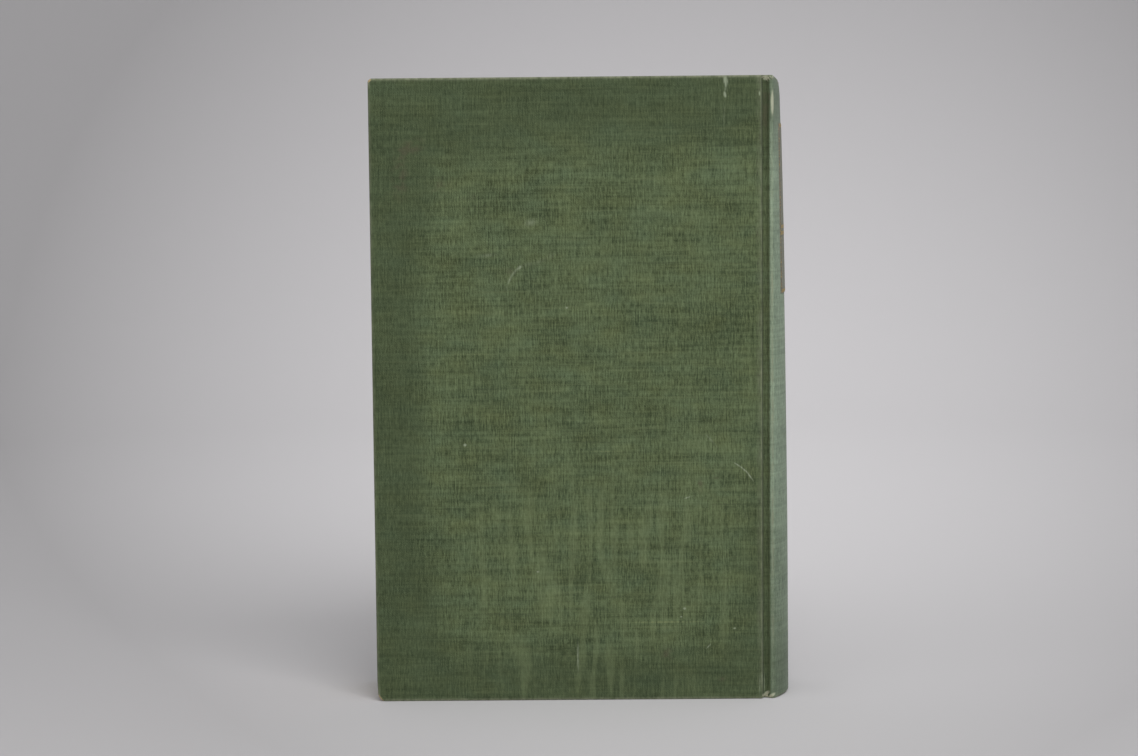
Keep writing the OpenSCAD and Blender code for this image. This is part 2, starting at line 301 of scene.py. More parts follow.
def cloth_run(column):
    """Points up one column of cloth: out of the tail turn-in, up the face and into the head turn-in."""
    outer, inner, cap = column["outer"], column["inner"], column.get("cap", 0.0)
    depth = math.dist(outer, inner)
    along = ((inner[0] - outer[0]) / depth, (inner[1] - outer[1]) / depth)
    low = TAIL_LIFT * cap
    high = CASE_H - HEAD_DROP * cap ** 1.5
    steps = mitred(fold_section(depth), column.get("mitre", TURN_IN))
    run = [(low + d, h, low + FACE_START - used, rub)
           for (d, h, used), rub in reversed(list(zip(steps, FOLD_RUB)))]
    for k in range(1, FACE_ROWS):
        z = low + FACE_START + (high - low - 2 * FACE_START) * k / FACE_ROWS
        run.append((z, 0.0, z, 0.0))
    run += [(high - d, h, high - FACE_START + used, rub) for (d, h, used), rub in zip(steps, FOLD_RUB)]
    points = []
    for z, h, flat_z, rub in run:
        sink = CAP_SINK * cap * max(0.0, (z - high + CAP_LENGTH) / CAP_LENGTH) ** 2
        ripple = column.get("ripple", 0.0) * noise.noise((outer[0] / 3, z / 16, 5.0)) if h == 0 else 0.0
        reach = h + sink + ripple
        worn = column["rub"] * (1 - column.get("spared", 0.0) * (2 * z / CASE_H - 1) ** 2)
        worn *= 1 + RUB_UNEVEN * noise.noise((outer[0] / 2, z / 7, 8.0))
        points.append(((outer[0] + along[0] * reach, outer[1] + along[1] * reach, z),
                       (column["flat"], flat_z), min(1.0, rub + worn)))
    return points


print("points up one column of cloth:", FACE_ROWS - 1 + 2 * len(FOLD_RUB))

# %% [markdown]
# The columns of the section run from the middle of the spine to the fore edge of a cover. Each one knows
# where the outside of the cloth is, where the turned-in cloth lies behind it, and how far along the uncut
# sheet it is.

# %% Columns of the spine
PLY, TWO_PLY = 0.36, 0.8            # one cloth as drawn, and a fold of two lying flat
SPINE_FOLD = 1.5                    # the fold at the ends of the spine is rounder than the one over a board
ARC_STEPS, RIDGE_STEPS = 22, 9
RIDGE_SPARED = 0.6                  # the rubbing and painted highlight of the ridge are less towards head and tail


def half_spine_columns():
    columns = []
    for k in range(ARC_STEPS + 1):
        a = RIDGE_A * k / ARC_STEPS
        depth = TWO_PLY + (SPINE_FOLD - TWO_PLY) * smoothstep((RIDGE_A - a) / 4)
        u = BACK_X + SPINE_R * math.cos(math.radians(a))
        columns.append({
            "outer": polar(BACK_X, 0, SPINE_R, a), "inner": polar(BACK_X, 0, SPINE_R - depth, a),
            "flat": math.radians(a) * SPINE_R, "fade": 1.0, "soil": 0.0,
            "cap": max(0.0, (u - RIDGE_X) / CAP_SPAN),
            "rub": 0.06 * smoothstep((a - 22) / 10), "ripple": 0.05})
    # Over the ridge the fading of the sun ends, the crest is rubbed pale with a painted highlight, and the
    # dirt and painted shade of the groove start
    start = columns[-1]["flat"]
    for k in range(1, RIDGE_STEPS + 1):
        a = RIDGE_A + (SLOPE_A - RIDGE_A) * k / RIDGE_STEPS
        outer = polar(RIDGE_X, RIDGE_Y, RIDGE_R, a)
        # The rub on the crest is rubbed cloth together with a painted highlight where the ridge meets the
        # light
        columns.append({
            "outer": outer, "inner": polar(RIDGE_X, RIDGE_Y, RIDGE_R - TWO_PLY, a),
            "flat": start + math.radians(a - RIDGE_A) * RIDGE_R,
            "fade": smoothstep((128 - a) / 26), "soil": 0.5 * smoothstep((a - 118) / 27),
            "cap": max(0.0, (outer[0] - RIDGE_X) / CAP_SPAN),
            "rub": 0.8 * math.exp(-((a - 82) / 22) ** 2), "spared": RIDGE_SPARED, "ripple": 0.08})
    return columns


spine_half = half_spine_columns()
print("columns from the middle of the spine to the groove:", len(spine_half))

# %% Columns of the joint
GROOVE_STEPS = 20                   # enough for a smooth loop when the cover is turned right back
TURN_OFF = -115                     # past this angle the turned-in cloth heads for the edge of the board
SLIT_LIFT = 0.25                    # the turned-in cloth rises by this much towards the groove
EDGE_LINE = [0.25, 0.5, 0.62, 0.55, 0.3]    # a pale line along the joint edge of the board: rubbed cloth with a painted highlight


def joint_columns(start):
    """From the ridge down through the groove and up to the edge of the board."""
    columns = []
    first = SLOPE_A - 180
    for k in range(GROOVE_STEPS + 1):
        a = first + (-180 - first) * k / GROOVE_STEPS
        outer = polar(GROOVE_X, GROOVE_Y, GROOVE_R, a)
        inner = polar(GROOVE_X, GROOVE_Y, GROOVE_R + TWO_PLY, max(a, TURN_OFF))
        if a < TURN_OFF:
            share = (TURN_OFF - a) / (TURN_OFF + 180)
            inner = (inner[0] + (WALL_X - inner[0]) * share,
                     inner[1] + (TURNED_Y + SLIT_LIFT - inner[1]) * share)
        columns.append({
            "outer": outer, "inner": inner, "flat": start + math.radians(first - a) * GROOVE_R,
            "fade": 0.0, "soil": 0.4 + 0.6 * smoothstep((-95 - a) / 60), "rub": 0.0,
            "ripple": 0.16 if 0 < k < GROOVE_STEPS else 0.0})
    columns[0]["ripple"] = 0.08
    start = columns[-1]["flat"]
    for k, rub in enumerate(EDGE_LINE, 1):
        share = k / len(EDGE_LINE)
        outer = polar(WALL_X - EDGE_R, GROOVE_Y, EDGE_R, 90 * share)
        columns.append({
            "outer": outer, "inner": (outer[0], TURNED_Y + SLIT_LIFT * (1 - share)),
            "flat": start + math.radians(90 * share) * EDGE_R, "fade": 0.0, "soil": 0.0, "rub": rub,
            "ripple": 0.0})
    return columns


joint_half = joint_columns(spine_half[-1]["flat"])
face_flat = joint_half[-1]["flat"]
print("flat of the cover starts on the uncut cloth at, mm:", round(face_flat, 2))

# %% [markdown]
# Book cloth is cotton, dyed, filled with starch and rolled flat. It is woven of single threads that vary in
# thickness, so its face shows fine upright ribs and, across them, long thick threads called slubs. Every
# kind of variation is one layer of noise, as wide and as high as that kind of thread. The real ribs are
# 0.57 mm apart, less than two pixels of the picture, so the finest layer is drawn about twice as coarse.

# %% Layers of the weave
WEAVE_LAYERS = {            # width and height in mm, octaves added, their strength, weight in the lightness
    "rib": (0.52, 2.4, 0.0, 0.5, 0.88),
    "nap": (0.50, 0.62, 1.0, 0.6, 0.76),
    "warp": (0.52, 13.0, 0.0, 0.5, 0.60),
    "streak": (1.4, 17.0, 1.0, 0.5, 0.32),
    "weft": (18.0, 1.1, 1.0, 0.5, 0.64),
    "band": (46.0, 4.2, 1.0, 0.5, 0.44),
    "patch": (3.2, 2.4, 2.0, 0.5, 0.12),
    "cloud": (20.0, 24.0, 2.0, 0.5, 0.58),
    "hue": (14.0, 8.0, 2.0, 0.5, 0.0),
    "slub": (30.0, 1.3, 0.0, 0.5, 0.0),
    "wisp": (3.8, 28.0, 0.5, 0.5, 0.0),
    "crumb": (1.8, 4.5, 3.0, 0.5, 0.0),
}
for key in ("rib", "weft"):
    print(key, "threads show every", round(2 * min(WEAVE_LAYERS[key][:2]), 1), "mm")

# %% [markdown]
# Use has marked this copy. Hands and shelves have left pale marks and one crooked scratch on the rear
# cover, the dye has gone brown in a few places, and the ridge at the head has lost its colour. Painted shade
# darkens the rear cover along its head, tail and fore edge. Each mark is a soft ellipse at its own place on
# the cloth, and a scratch is a chain of narrow ones.

# %% Places on the rear cover
def on_rear(u):
    """Place across the uncut cloth of a point of the rear half of the case."""
    if u < WALL_X - EDGE_R:
        return -(face_flat - (u - WALL_X + EDGE_R))
    columns = spine_half + joint_half[1:]
    for a, b in zip(columns, columns[1:]):
        u0, u1 = a["outer"][0], b["outer"][0]
        if u0 >= u >= u1:
            return -(a["flat"] + (b["flat"] - a["flat"]) * (u0 - u) / (u0 - u1))


def scratch(line, half_w, strength):
    """A chain of ellipses along a line of points on the rear cover."""
    chain = []
    for (u0, z0), (u1, z1) in zip(line, line[1:]):
        length = math.dist((u0, z0), (u1, z1))
        turn = math.degrees(math.atan2(z1 - z0, u1 - u0))
        chain.append((on_rear((u0 + u1) / 2), (z0 + z1) / 2, 0.8 * length, half_w, turn, strength))
    return chain


print("fore edge of the rear cover on the uncut cloth, mm:", round(on_rear(FORE_X), 1))

# %% Painted shade and brown marks
# Each mark: place on the uncut cloth in mm, half length, half width, turn in degrees, strength
# Painted shade: broad dark ellipses along the head, tail and fore edge of the rear cover, low on the spine
# and beside the joint
PAINTED_SHADE_AREAS = [
    (on_rear(-140), 212, 60, 46, -30, 0.4),
    (on_rear(-144), 30, 46, 50, 30, 0.4),
    (on_rear(-70), 244, 260, 48, 0, 1.2),
    (on_rear(-152), 118, 300, 30, 90, 1.3),
    (on_rear(-70), -6, 260, 34, 0, 1.2),
    (on_rear(0), 40, 60, 26, 90, 0.5),
    (on_rear(-4.5), 116, 95, 5, 90, 0.3),
]
BROWN_MARKS = [
    (on_rear(-133.3), 209, 9, 5, 20, 0.6),
    (on_rear(-137.2), 198, 5, 12, 0, 0.6),
    (on_rear(-122.4), 195, 8, 6, 0, 0.35),
    (on_rear(-112.0), 191, 6, 2.5, 0, 0.35),
    (on_rear(-96.5), 163, 4, 3, 0, 0.35),
    (on_rear(-26.0), 81.5, 1.6, 3.6, 0, 0.8),
    (on_rear(-20.5), 84.5, 2.6, 1.4, 0, 0.5),
    (on_rear(-39.0), 17, 4, 6, 0, 0.5),
    (on_rear(-18.0), 8, 3, 2.4, 0, 0.5),
    (on_rear(0.2), 226, 5, 0.5, 90, 0.9),
    (on_rear(-1.3), 222, 12, 1.7, 90, 0.9),
]
print("dark and brown marks:", len(PAINTED_SHADE_AREAS), len(BROWN_MARKS))

# %% Pale marks and scratches
PALE_MARKS = []
for line, half_w, strength in (
        ([(-98.4, 155.2), (-97.4, 158.6)], 0.8, 0.22),
        ([(-97.4, 158.6), (-96.2, 161.2), (-94.2, 163.6)], 0.85, 0.42),
        ([(-94.2, 163.6), (-92.4, 164.9)], 1.0, 0.6),
        ([(-92.4, 164.9), (-87.0, 166.0), (-83.2, 167.3), (-79.5, 169.6)], 2.0, 0.22),
        ([(-13.4, 90.4), (-10.6, 88.6), (-8.4, 86.6), (-6.2, 83.6)], 0.5, 0.65),
        ([(-16.2, 234.8), (-15.9, 231.4)], 1.2, 1.0),
        ([(-16.0, 231.4), (-16.0, 228.6)], 1.1, 0.35),
        ([(-16.6, 228.8), (-16.0, 227.0)], 0.8, 0.8),
        ([(-16.4, 227.0), (-16.8, 215.0)], 0.6, 0.22)):
    PALE_MARKS += scratch(line, half_w, strength)
PALE_MARKS += [
    (on_rear(-89.0), 181, 4.5, 2.6, 10, 0.35),
    (on_rear(-105.0), 169, 6, 1.4, 5, 0.3),
    (on_rear(-114.3), 97.8, 1.0, 0.8, 0, 0.8),
    (on_rear(-75.6), 149.2, 0.7, 0.6, 0, 0.9),
    (on_rear(-87.4), 49.4, 0.8, 0.6, 0, 0.8),
    (on_rear(-32.2), 34.9, 0.9, 0.7, 0, 0.8),
    (on_rear(-33.4), 31.8, 0.7, 0.5, 0, 0.7),
    (on_rear(-13.3), 27.2, 1.0, 0.5, 0, 0.7),
    (on_rear(-23.1), 20.4, 1.6, 0.5, 50, 0.8),
    (on_rear(-31.0), 77.2, 2.0, 0.5, 20, 0.6),
    (on_rear(-72.6), 16.6, 9.0, 0.7, 90, 0.5),
    (on_rear(-22.0), 99, 7, 0.8, -50, 0.3),
    (on_rear(-3.4), 228.3, 1.3, 0.5, 90, 1.0),
    (on_rear(-2.9), 8, 6, 0.5, 90, 0.45),
    (on_rear(-1.9), 6, 6, 0.35, 90, 0.6),
    (on_rear(-3.8), 5, 7, 0.4, 90, 0.4),
]
YELLOW_SLUBS = [
    (on_rear(-39.6), 29.8, 20, 0.45, 0, 0.9),
    (on_rear(-62.0), 95.0, 14, 0.4, 0, 0.5),
    (on_rear(-110.0), 132.0, 16, 0.4, 0, 0.5),
]
WISP_AREA = [(on_rear(-62), 40, 66, 74, 90, 1.6)]
CREAM_MARKS = [
    (on_rear(1.6), 224.8, 6.0, 1.2, 90, 1.1),
    (on_rear(-0.9), 234.0, 1.8, 1.3, 0, 0.9),
    (on_rear(1.9), 234.3, 1.5, 0.8, 0, 0.8),
    (on_rear(-1.4), 1.6, 2.4, 0.9, 35, 0.9),
    (on_rear(0.9), 1.2, 2.0, 0.8, 30, 0.9),
]
print("pale, yellow and cream marks:", len(PALE_MARKS), len(YELLOW_SLUBS), len(CREAM_MARKS))

# %% [markdown]
# The material adds the layers to one lightness, which mixes a dark and a pale green. Both lean a little to
# olive in some places and to blue in others, and the sun has greyed the spine. Each slub gets a painted
# highlight on its crown and painted shade beneath it.

# %% Dyed threads
def woven_noise(tree, place):
    """Every layer of the weave as noise, and their weighted sum as one value from dark to light."""
    weave = {}
    light = 0.5 - sum(layer[-1] for layer in WEAVE_LAYERS.values()) / 2
    for i, (key, (width, height, octaves, strength, weight)) in enumerate(WEAVE_LAYERS.items()):
        scaled = add_node(tree, "Mapping", {
            "Vector": place, "Location": (4.3 * i, 3.1 * i, 0),
            "Scale": (1 / (width * MM), 1 / (height * MM), 1)})
        weave[key] = add_node(tree, "TexNoise", {
            "Vector": scaled.outputs[0], "Scale": 1.0, "Detail": octaves, "Roughness": strength}).outputs[0]
        if weight:
            light = add_node(tree, "Math", {
                0: weave[key], 1: weight, 2: light}, operation="MULTIPLY_ADD").outputs[0]
    return weave, light


def dyed_green(tree, weave, light):
    """The colour of the threads with the painted highlight and shade of the slubs, without any mark or wear.
    """
    hue = add_node(tree, "MapRange", {"Value": weave["hue"], "From Min": 0.25, "From Max": 0.75}).outputs[0]
    shades = []
    for cool, warm in (("#2c3921", "#2f381b"), ("#5f6f4f", "#626e49")):
        shades.append(add_node(tree, "Mix", {
            0: hue, 6: linear(cool), 7: linear(warm)}, data_type="RGBA").outputs[2])
    colour = add_node(tree, "Mix", {0: light, 6: shades[0], 7: shades[1]}, data_type="RGBA").outputs[2]
    greyed = add_node(tree, "Mix", {
        0: light, 6: linear("#5f6e5c"), 7: linear("#8ea088")}, data_type="RGBA").outputs[2]
    fade = add_node(tree, "Attribute", attribute_name="fade").outputs["Fac"]
    colour = add_node(tree, "Mix", {0: fade, 6: colour, 7: greyed}, data_type="RGBA").outputs[2]
    # Painted highlight on the crown of each slub and painted shade beneath it
    for low, high, hex_colour in ((0.66, 0.80, "#6b7551"), (0.34, 0.20, "#2f3824")):
        slub_light_and_shade = add_node(tree, "MapRange", {
            "Value": weave["slub"], "From Min": low, "From Max": high, "To Max": 0.20}).outputs[0]
        colour = add_node(tree, "Mix", {
            0: slub_light_and_shade, 6: colour, 7: linear(hex_colour)}, data_type="RGBA").outputs[2]
    return colour


print("layers that make the lightness:", sum(layer[-1] > 0 for layer in WEAVE_LAYERS.values()))

# %% [markdown]
# The marks come over the green, each group broken up by a layer of the weave so that it sits in the threads
# and not on top of them. Then comes the wear, which follows masks on the mesh: the first is the dirt in the
# groove together with painted shade there, rub the edges with a painted highlight along the ridge and the
# joint edge of the board, and bare the corners that are worn through to the board.

# %% Marks and wear
# Colour, greatest share, the layer that breaks the marks up and the range in which it does, and the marks
MARK_GROUPS = (
    # The first group is painted shade, the others are marks of use
    ("#2e3a23", 0.48, "cloud", 0.0, 0.5, PAINTED_SHADE_AREAS),
    ("#4d4737", 0.50, "patch", 0.3, 0.6, BROWN_MARKS),
    ("#73805a", 0.22, "wisp", 0.48, 0.74, WISP_AREA),
    ("#737c54", 0.60, "rib", 0.2, 0.6, YELLOW_SLUBS),
    ("#8a947c", 0.80, "rib", -0.3, 0.65, PALE_MARKS),
    ("#a9ad95", 0.95, "crumb", 0.2, 0.45, CREAM_MARKS))
# Mask, the least that the crumbs of the weave leave of it, its start and end, greatest share, and colour
WEAR = (
    # Dirt in the groove with painted shade in its depth
    ("soil", 0.8, 0.0, 1.0, 0.46, "#383c28"),
    ("rub", 0.35, 0.05, 0.95, 0.75, "#83876f"),
    ("bare", 0.50, 0.35, 0.60, 1.0, "#a4926c"))


def marked(tree, place, weave, colour):
    """The colour with every group of marks over it, each mark a soft ellipse."""
    for hex_colour, most, key, low, high, marks in MARK_GROUPS:
        total = 0.0
        for across, z, half_l, half_w, turn, strength in marks:
            at = add_node(tree, "Mapping", {
                "Vector": place, "Location": (across * MM, z * MM, 0), "Rotation": (0, 0, math.radians(turn)),
                "Scale": (half_l * MM, half_w * MM, 1)}, vector_type="TEXTURE").outputs[0]
            spot = add_node(tree, "TexGradient", {0: at}, gradient_type="SPHERICAL").outputs["Fac"]
            total = add_node(tree, "Math", {
                0: spot, 1: strength, 2: total}, operation="MULTIPLY_ADD").outputs[0]
        broken = add_node(tree, "MapRange", {
            "Value": weave[key], "From Min": low, "From Max": high}).outputs[0]
        share = add_node(tree, "Math", {0: total, 1: broken}, operation="MULTIPLY").outputs[0]
        share = add_node(tree, "MapRange", {
            "Value": share, "From Min": 0.03, "From Max": 0.6, "To Max": most},
            interpolation_type="SMOOTHSTEP").outputs[0]
        colour = add_node(tree, "Mix", {
            0: share, 6: colour, 7: linear(hex_colour)}, data_type="RGBA").outputs[2]
    return colour


def worn(tree, weave, colour):
    """The colour with the wear, dirt and painted light that the masks on the mesh give."""
    for attribute, least, start, end, most, hex_colour in WEAR:
        mask = add_node(tree, "Attribute", attribute_name=attribute).outputs["Fac"]
        crumbs = add_node(tree, "MapRange", {
            "Value": weave["crumb"], "From Min": 0.30, "From Max": 0.65, "To Min": least}).outputs[0]
        share = add_node(tree, "Math", {0: mask, 1: crumbs}, operation="MULTIPLY").outputs[0]
        share = add_node(tree, "MapRange", {
            "Value": share, "From Min": start, "From Max": end, "To Max": most}).outputs[0]
        colour = add_node(tree, "Mix", {
            0: share, 6: colour, 7: linear(hex_colour)}, data_type="RGBA").outputs[2]
    return colour


print("groups of marks and kinds of wear:", len(MARK_GROUPS), len(WEAR))

# %% [markdown]
# The weave is height as well as colour: a crest stands where a rib passes over a weft thread, on a face
# that is not quite even. Starch leaves the face matt with a slight sheen.

# %% Book cloth
RIB_SHOWN, WEFT_SHOWN = 1.0, 0.9    # periods of the woven relief in mm


def woven_relief(tree, place, light):
    """The direction of the surface, as the light sees it on the threads."""
    split = add_node(tree, "SeparateXYZ", {0: place})
    crests = 1.0
    for axis, period in ((0, RIB_SHOWN), (1, WEFT_SHOWN)):
        turns = add_node(tree, "Math", {
            0: split.outputs[axis], 1: 2 * math.pi / (period * MM)}, operation="MULTIPLY").outputs[0]
        wave = add_node(tree, "Math", {0: turns}, operation="SINE").outputs[0]
        crests = add_node(tree, "Math", {0: wave, 1: crests}, operation="MULTIPLY").outputs[0]
    height = add_node(tree, "Math", {0: crests, 1: 0.25, 2: light}, operation="MULTIPLY_ADD").outputs[0]
    return add_node(tree, "Bump", {"Strength": 0.5, "Distance": 0.00010, "Height": height}).outputs[0]


def book_cloth(name):
    material, tree = new_material(name)
    place = add_node(tree, "UVMap", uv_map="cut").outputs[0]
    weave, light = woven_noise(tree, place)
    colour = worn(tree, weave, marked(tree, place, weave, dyed_green(tree, weave, light)))
    shader = add_node(tree, "BsdfPrincipled", {
        "Base Color": colour, "Roughness": 0.82, "IOR": 1.5, "Specular IOR Level": 0.3,
        "Sheen Weight": 0.08, "Sheen Roughness": 0.5, "Normal": woven_relief(tree, place, light)})
    add_node(tree, "OutputMaterial", {0: shader.outputs[0]})
    return material


cloth = book_cloth("cotton_book_cloth_starched")
print("book cloth nodes:", len(cloth.node_tree.nodes))

# %% [markdown]
# The spine cloth stays with the leaves. Between the spine and each cover the cloth of the groove has to bend,
# so the cover's cloth is one sheet that reaches across the groove to the ridge.

# %% Spine cloth
TAIL_FADE_LOST = 0.25               # the sun has greyed the tail of the spine less
TAIL_DIRT_AND_SHADE_LOST = 0.65               # and the groove's dirt and painted shade are lighter there


def mirrored(column):
    """The same column on the rear half of the book."""
    copy = dict(column)
    copy["outer"] = (column["outer"][0], -column["outer"][1])
    copy["inner"] = (column["inner"][0], -column["inner"][1])
    copy["flat"] = -column["flat"]
    return copy


def add_columns(columns, points, flat, masks):
    """Lists the points of some columns of cloth, and returns how many each column has."""
    for column in columns:
        run = cloth_run(column)
        for point, place, rub in run:
            points.append(point)
            flat.append(place)
            masks["rub"].append(rub)
            masks["fade"].append(column["fade"] * (1 - TAIL_FADE_LOST * smoothstep(1 - point[2] / 90)))
            masks["soil"].append(column["soil"] * (1 - TAIL_DIRT_AND_SHADE_LOST * smoothstep(1 - point[2] / 70)))
            masks["bare"].append(0.0)
    return len(run)


def empty_masks():
    return {"rub": [], "fade": [], "soil": [], "bare": []}


points, flat, masks = [], [], empty_masks()
section = [mirrored(c) for c in reversed(spine_half[1:])] + spine_half
rows = add_columns(section, points, flat, masks)
spine_cloth = make_piece("spine_cloth_sheet", points, grid_faces(len(section), rows), flat, masks, PLY)
spine_cloth.data.materials.append(cloth)
stand_for(spine_cloth, "spine_cloth")

# %% [markdown]
# The cloth of a cover is a grid over the face, folded over on three sides. At the two corners of the fore
# edge the fold goes round in an arc, wider at the tail where the book has been set down for years. On the
# inside each turn-in is cut off at 45 degrees, so that they meet in a narrow open mitre.

# %% Fore edge and corners
HEAD_CORNER_R = 1.6
TAIL_CORNER_R = 3.0
CORNER_STEPS = 7
CORNER_PUSH, PUSH_HEIGHT = 0.3, 9.0 # the tail corner is pushed in by this much, up to this height
FORE_RUB = 0.5                      # the fore edge is rubbed half as much as head and tail
MITRE_GAP = 0.2                     # each turn-in is cut this far from the middle of the mitre


def fore_points(side):
    """Rounds of points from the tail corner, up the fore edge and past the head corner.

    Each round runs from the face to the end of the turn-in.
    """
    steps = fold_section(FACE_Y - TURNED_Y)
    face_end = face_flat + (WALL_X - EDGE_R - FORE_X - FACE_START)
    last = CORNER_STEPS - 1
    stations = [("tail", k) for k in range(CORNER_STEPS)]
    stations += [("fore", k) for k in range(1, FACE_ROWS)]
    stations += [("head", k) for k in range(CORNER_STEPS)]
    rounds = []
    for where, k in stations:
        points = []
        height = FACE_START + (CASE_H - 2 * FACE_START) * k / FACE_ROWS
        most = min(height, CASE_H - height) - MITRE_GAP if where == "fore" else FACE_START
        for (d, h, used), rub in zip(mitred(steps, most), FOLD_RUB):
            u, bare = FORE_X + d, 0.0
            z = flat_z = height
            if where == "fore":
                rub *= FORE_RUB
            else:
                # The corner is worked out for the tail and turned over for the head
                at_tail = where == "tail"
                corner_r = TAIL_CORNER_R if at_tail else HEAD_CORNER_R
                share = k / last if at_tail else 1 - k / last
                centre = max(corner_r, d)
                out_u, out_z = polar(0, 0, max(corner_r - d, 0.0), 90 - 90 * share)
                u, z = FORE_X + centre - out_u, centre - out_z
                middle = abs(2 * share - 1)
                if d >= FACE_START and h > EDGE_R:
                    u, z = u - MITRE_GAP * share, z - MITRE_GAP * (1 - share)
                bare = (1 - 0.6 * middle) * min(1.0, rub * (1.4 if at_tail else 1.2))
                flat_z = z - max(0.0, used - FACE_START) * (1 - share)
                if not at_tail:
                    z, flat_z = CASE_H - z, CASE_H - flat_z
            u += CORNER_PUSH * smoothstep(1 - z / PUSH_HEIGHT) * (1 - smoothstep((u - FORE_X) / FACE_START))
            points.append(((u, side * (FACE_Y - h), z), (side * (face_end + used), flat_z), rub, bare))
        rounds.append(points)
    return rounds


print("rounds of the fold at the fore edge:", len(fore_points(1)))

# %% Cloth of one cover
FACE_COLUMNS = 57
SWELL = 0.13                        # how far the face of an old board rises and falls


def cover_cloth(side):
    face = []
    for k in range(1, FACE_COLUMNS + 1):
        u = WALL_X - EDGE_R + (FORE_X + FACE_START - WALL_X + EDGE_R) * k / FACE_COLUMNS
        face.append({"outer": (u, FACE_Y), "inner": (u, TURNED_Y), "flat": face_flat - (u - WALL_X + EDGE_R),
                     "fade": 0.0, "soil": 0.0, "rub": 0.0, "mitre": u - FORE_X - MITRE_GAP})
    columns = [spine_half[-1]] + joint_half[1:] + face
    if side < 0:
        columns = [mirrored(c) for c in columns]
    points, flat, masks = [], [], empty_masks()
    rows = add_columns(columns, points, flat, masks)
    for i, (u, y, z) in enumerate(points):
        inside = min((WALL_X - u) / 10, (u - FORE_X) / 10, z / 10, (CASE_H - z) / 10, 1.0)
        if abs(y) > FACE_Y - 0.01 and inside > 0:
            rise = SWELL * smoothstep(inside) * noise.noise((u / 45, z / 55, side * 9.0))
            points[i] = (u, y + side * rise, z)
    faces = grid_faces(len(columns), rows, flip=side < 0)
    # The fold round the fore edge and its corners, joined to the last column at head and tail
    last = (len(columns) - 1) * rows
    steps = len(FOLD_RUB)
    rounds = fore_points(side)
    start = len(points)
    for one in rounds:
        for point, place, rub, bare in one:
            points.append(point)
            flat.append(place)
            masks["rub"].append(rub)
            masks["fade"].append(0.0)
            masks["soil"].append(0.0)
            masks["bare"].append(bare)
    tail_line = [last + steps - 1 - k for k in range(steps)]
    head_line = [last + rows - steps + k for k in range(steps)]
    lines = [[start + i * steps + k for k in range(steps)] for i in range(len(rounds))]
    lines = [tail_line] + lines + [head_line]
    for a, b in zip(lines, lines[1:]):
        for k in range(steps - 1):
            quad = (a[k], a[k + 1], b[k + 1], b[k])
            faces.append(quad if side > 0 else quad[::-1])
    return points, faces, flat, masks


print("points of one cover's cloth:", len(cover_cloth(1)[0]))

# %% [markdown]

# %% Cloth of both covers
def bend_at_joint(piece, name):
    """Bakes the piece's transform into its mesh, the same way for both covers."""
    if name == "rear":
        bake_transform(piece)
    else:
        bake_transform(piece)


HALVES = (("front", 1), ("rear", -1))
for name, side in HALVES:
    piece = make_piece(f"{name}_cover_cloth", *cover_cloth(side), PLY)
    piece.data.materials.append(cloth)
    bend_at_joint(piece, name)
    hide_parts(f"{name}_cloth")

# %% [markdown]
# The text block is 20 sections of four folded sheets, 160 leaves. A binder sews them through the folds,
# rounds the back with a hammer and spreads the outer sections over the edges of the boards, which gives the
# shoulders. So each sheet here is one strip of paper that runs from the fore edge to its fold and back, and
# leans over as it nears the shoulder. The fore edge is hollow because the leaves were trimmed before the
# back was rounded.

# %% A leaf from the side
SECTIONS, SHEETS = 20, 4
LEAVES = SECTIONS * SHEETS * 2
SECTION_A = 2 * BACK_A / SECTIONS
FORE_DEPTH = 4.0
FORE_R = (LEAF_Y ** 2 + FORE_DEPTH ** 2) / (2 * FORE_DEPTH)
FLARE_U = -3.0
FLARE_R = (FLARE_U ** 2 + SHOULDER_H ** 2) / (2 * SHOULDER_H)
FLARE_Y = LEAF_Y + FLARE_R          # centre of the arc of the flare


def flare_y(u):
    """Half thickness of the leaves at u, with the flare that leads up to the shoulder."""
    if u <= FLARE_U:
        return LEAF_Y
    return FLARE_Y - math.sqrt(max(FLARE_R ** 2 - (min(u, 0) - FLARE_U) ** 2, 0.0))


def leaf_line(index, end, direction):
    """Middle line of a leaf from the fore edge to its end beside the fold."""
    y = -LEAF_Y + (index + 0.5) * BLOCK_T / LEAVES
    fore = FORE_DEPTH - LEAF_W - FORE_R + math.sqrt(FORE_R ** 2 - y * y)
    line = [(fore, y), (-90.0, y), (FLARE_U - 2, y)]
    reach = (end[0] - FLARE_U + 2) / 3
    first = Vector((FLARE_U - 2, y))
    last = Vector(end)
    a = first + Vector((reach, 0))
    b = last - Vector(direction) * reach
    for k in range(1, 7):
        t = k / 6
        p = first * (1 - t) ** 3 + a * 3 * t * (1 - t) ** 2 + b * 3 * t * t * (1 - t) + last * t ** 3
        line.append((p.x, p.y))
    return line


print("leaves and the thickness of one, mm:", LEAVES, round(BLOCK_T / LEAVES, 3))

# %% A folded sheet from the side
FOLD_R = 0.90                       # radius of the back of a section


def sheet_line(section, sheet):
    angle = -BACK_A + (section + 0.5) * SECTION_A
    direction = polar(0, 0, 1, angle)
    centre = polar(BACK_X, 0, BACK_R - FOLD_R, angle)
    radius = FOLD_R * (1 - (sheet + 0.5) / SHEETS)
    bend = [polar(*centre, radius, angle - 90 + 180 * k / 6) for k in range(7)]
    first = section * 2 * SHEETS + sheet
    second = section * 2 * SHEETS + 2 * SHEETS - 1 - sheet
    down = leaf_line(first, bend[0], direction)
    back = leaf_line(second, bend[-1], direction)
    return down + bend[1:-1] + back[::-1]


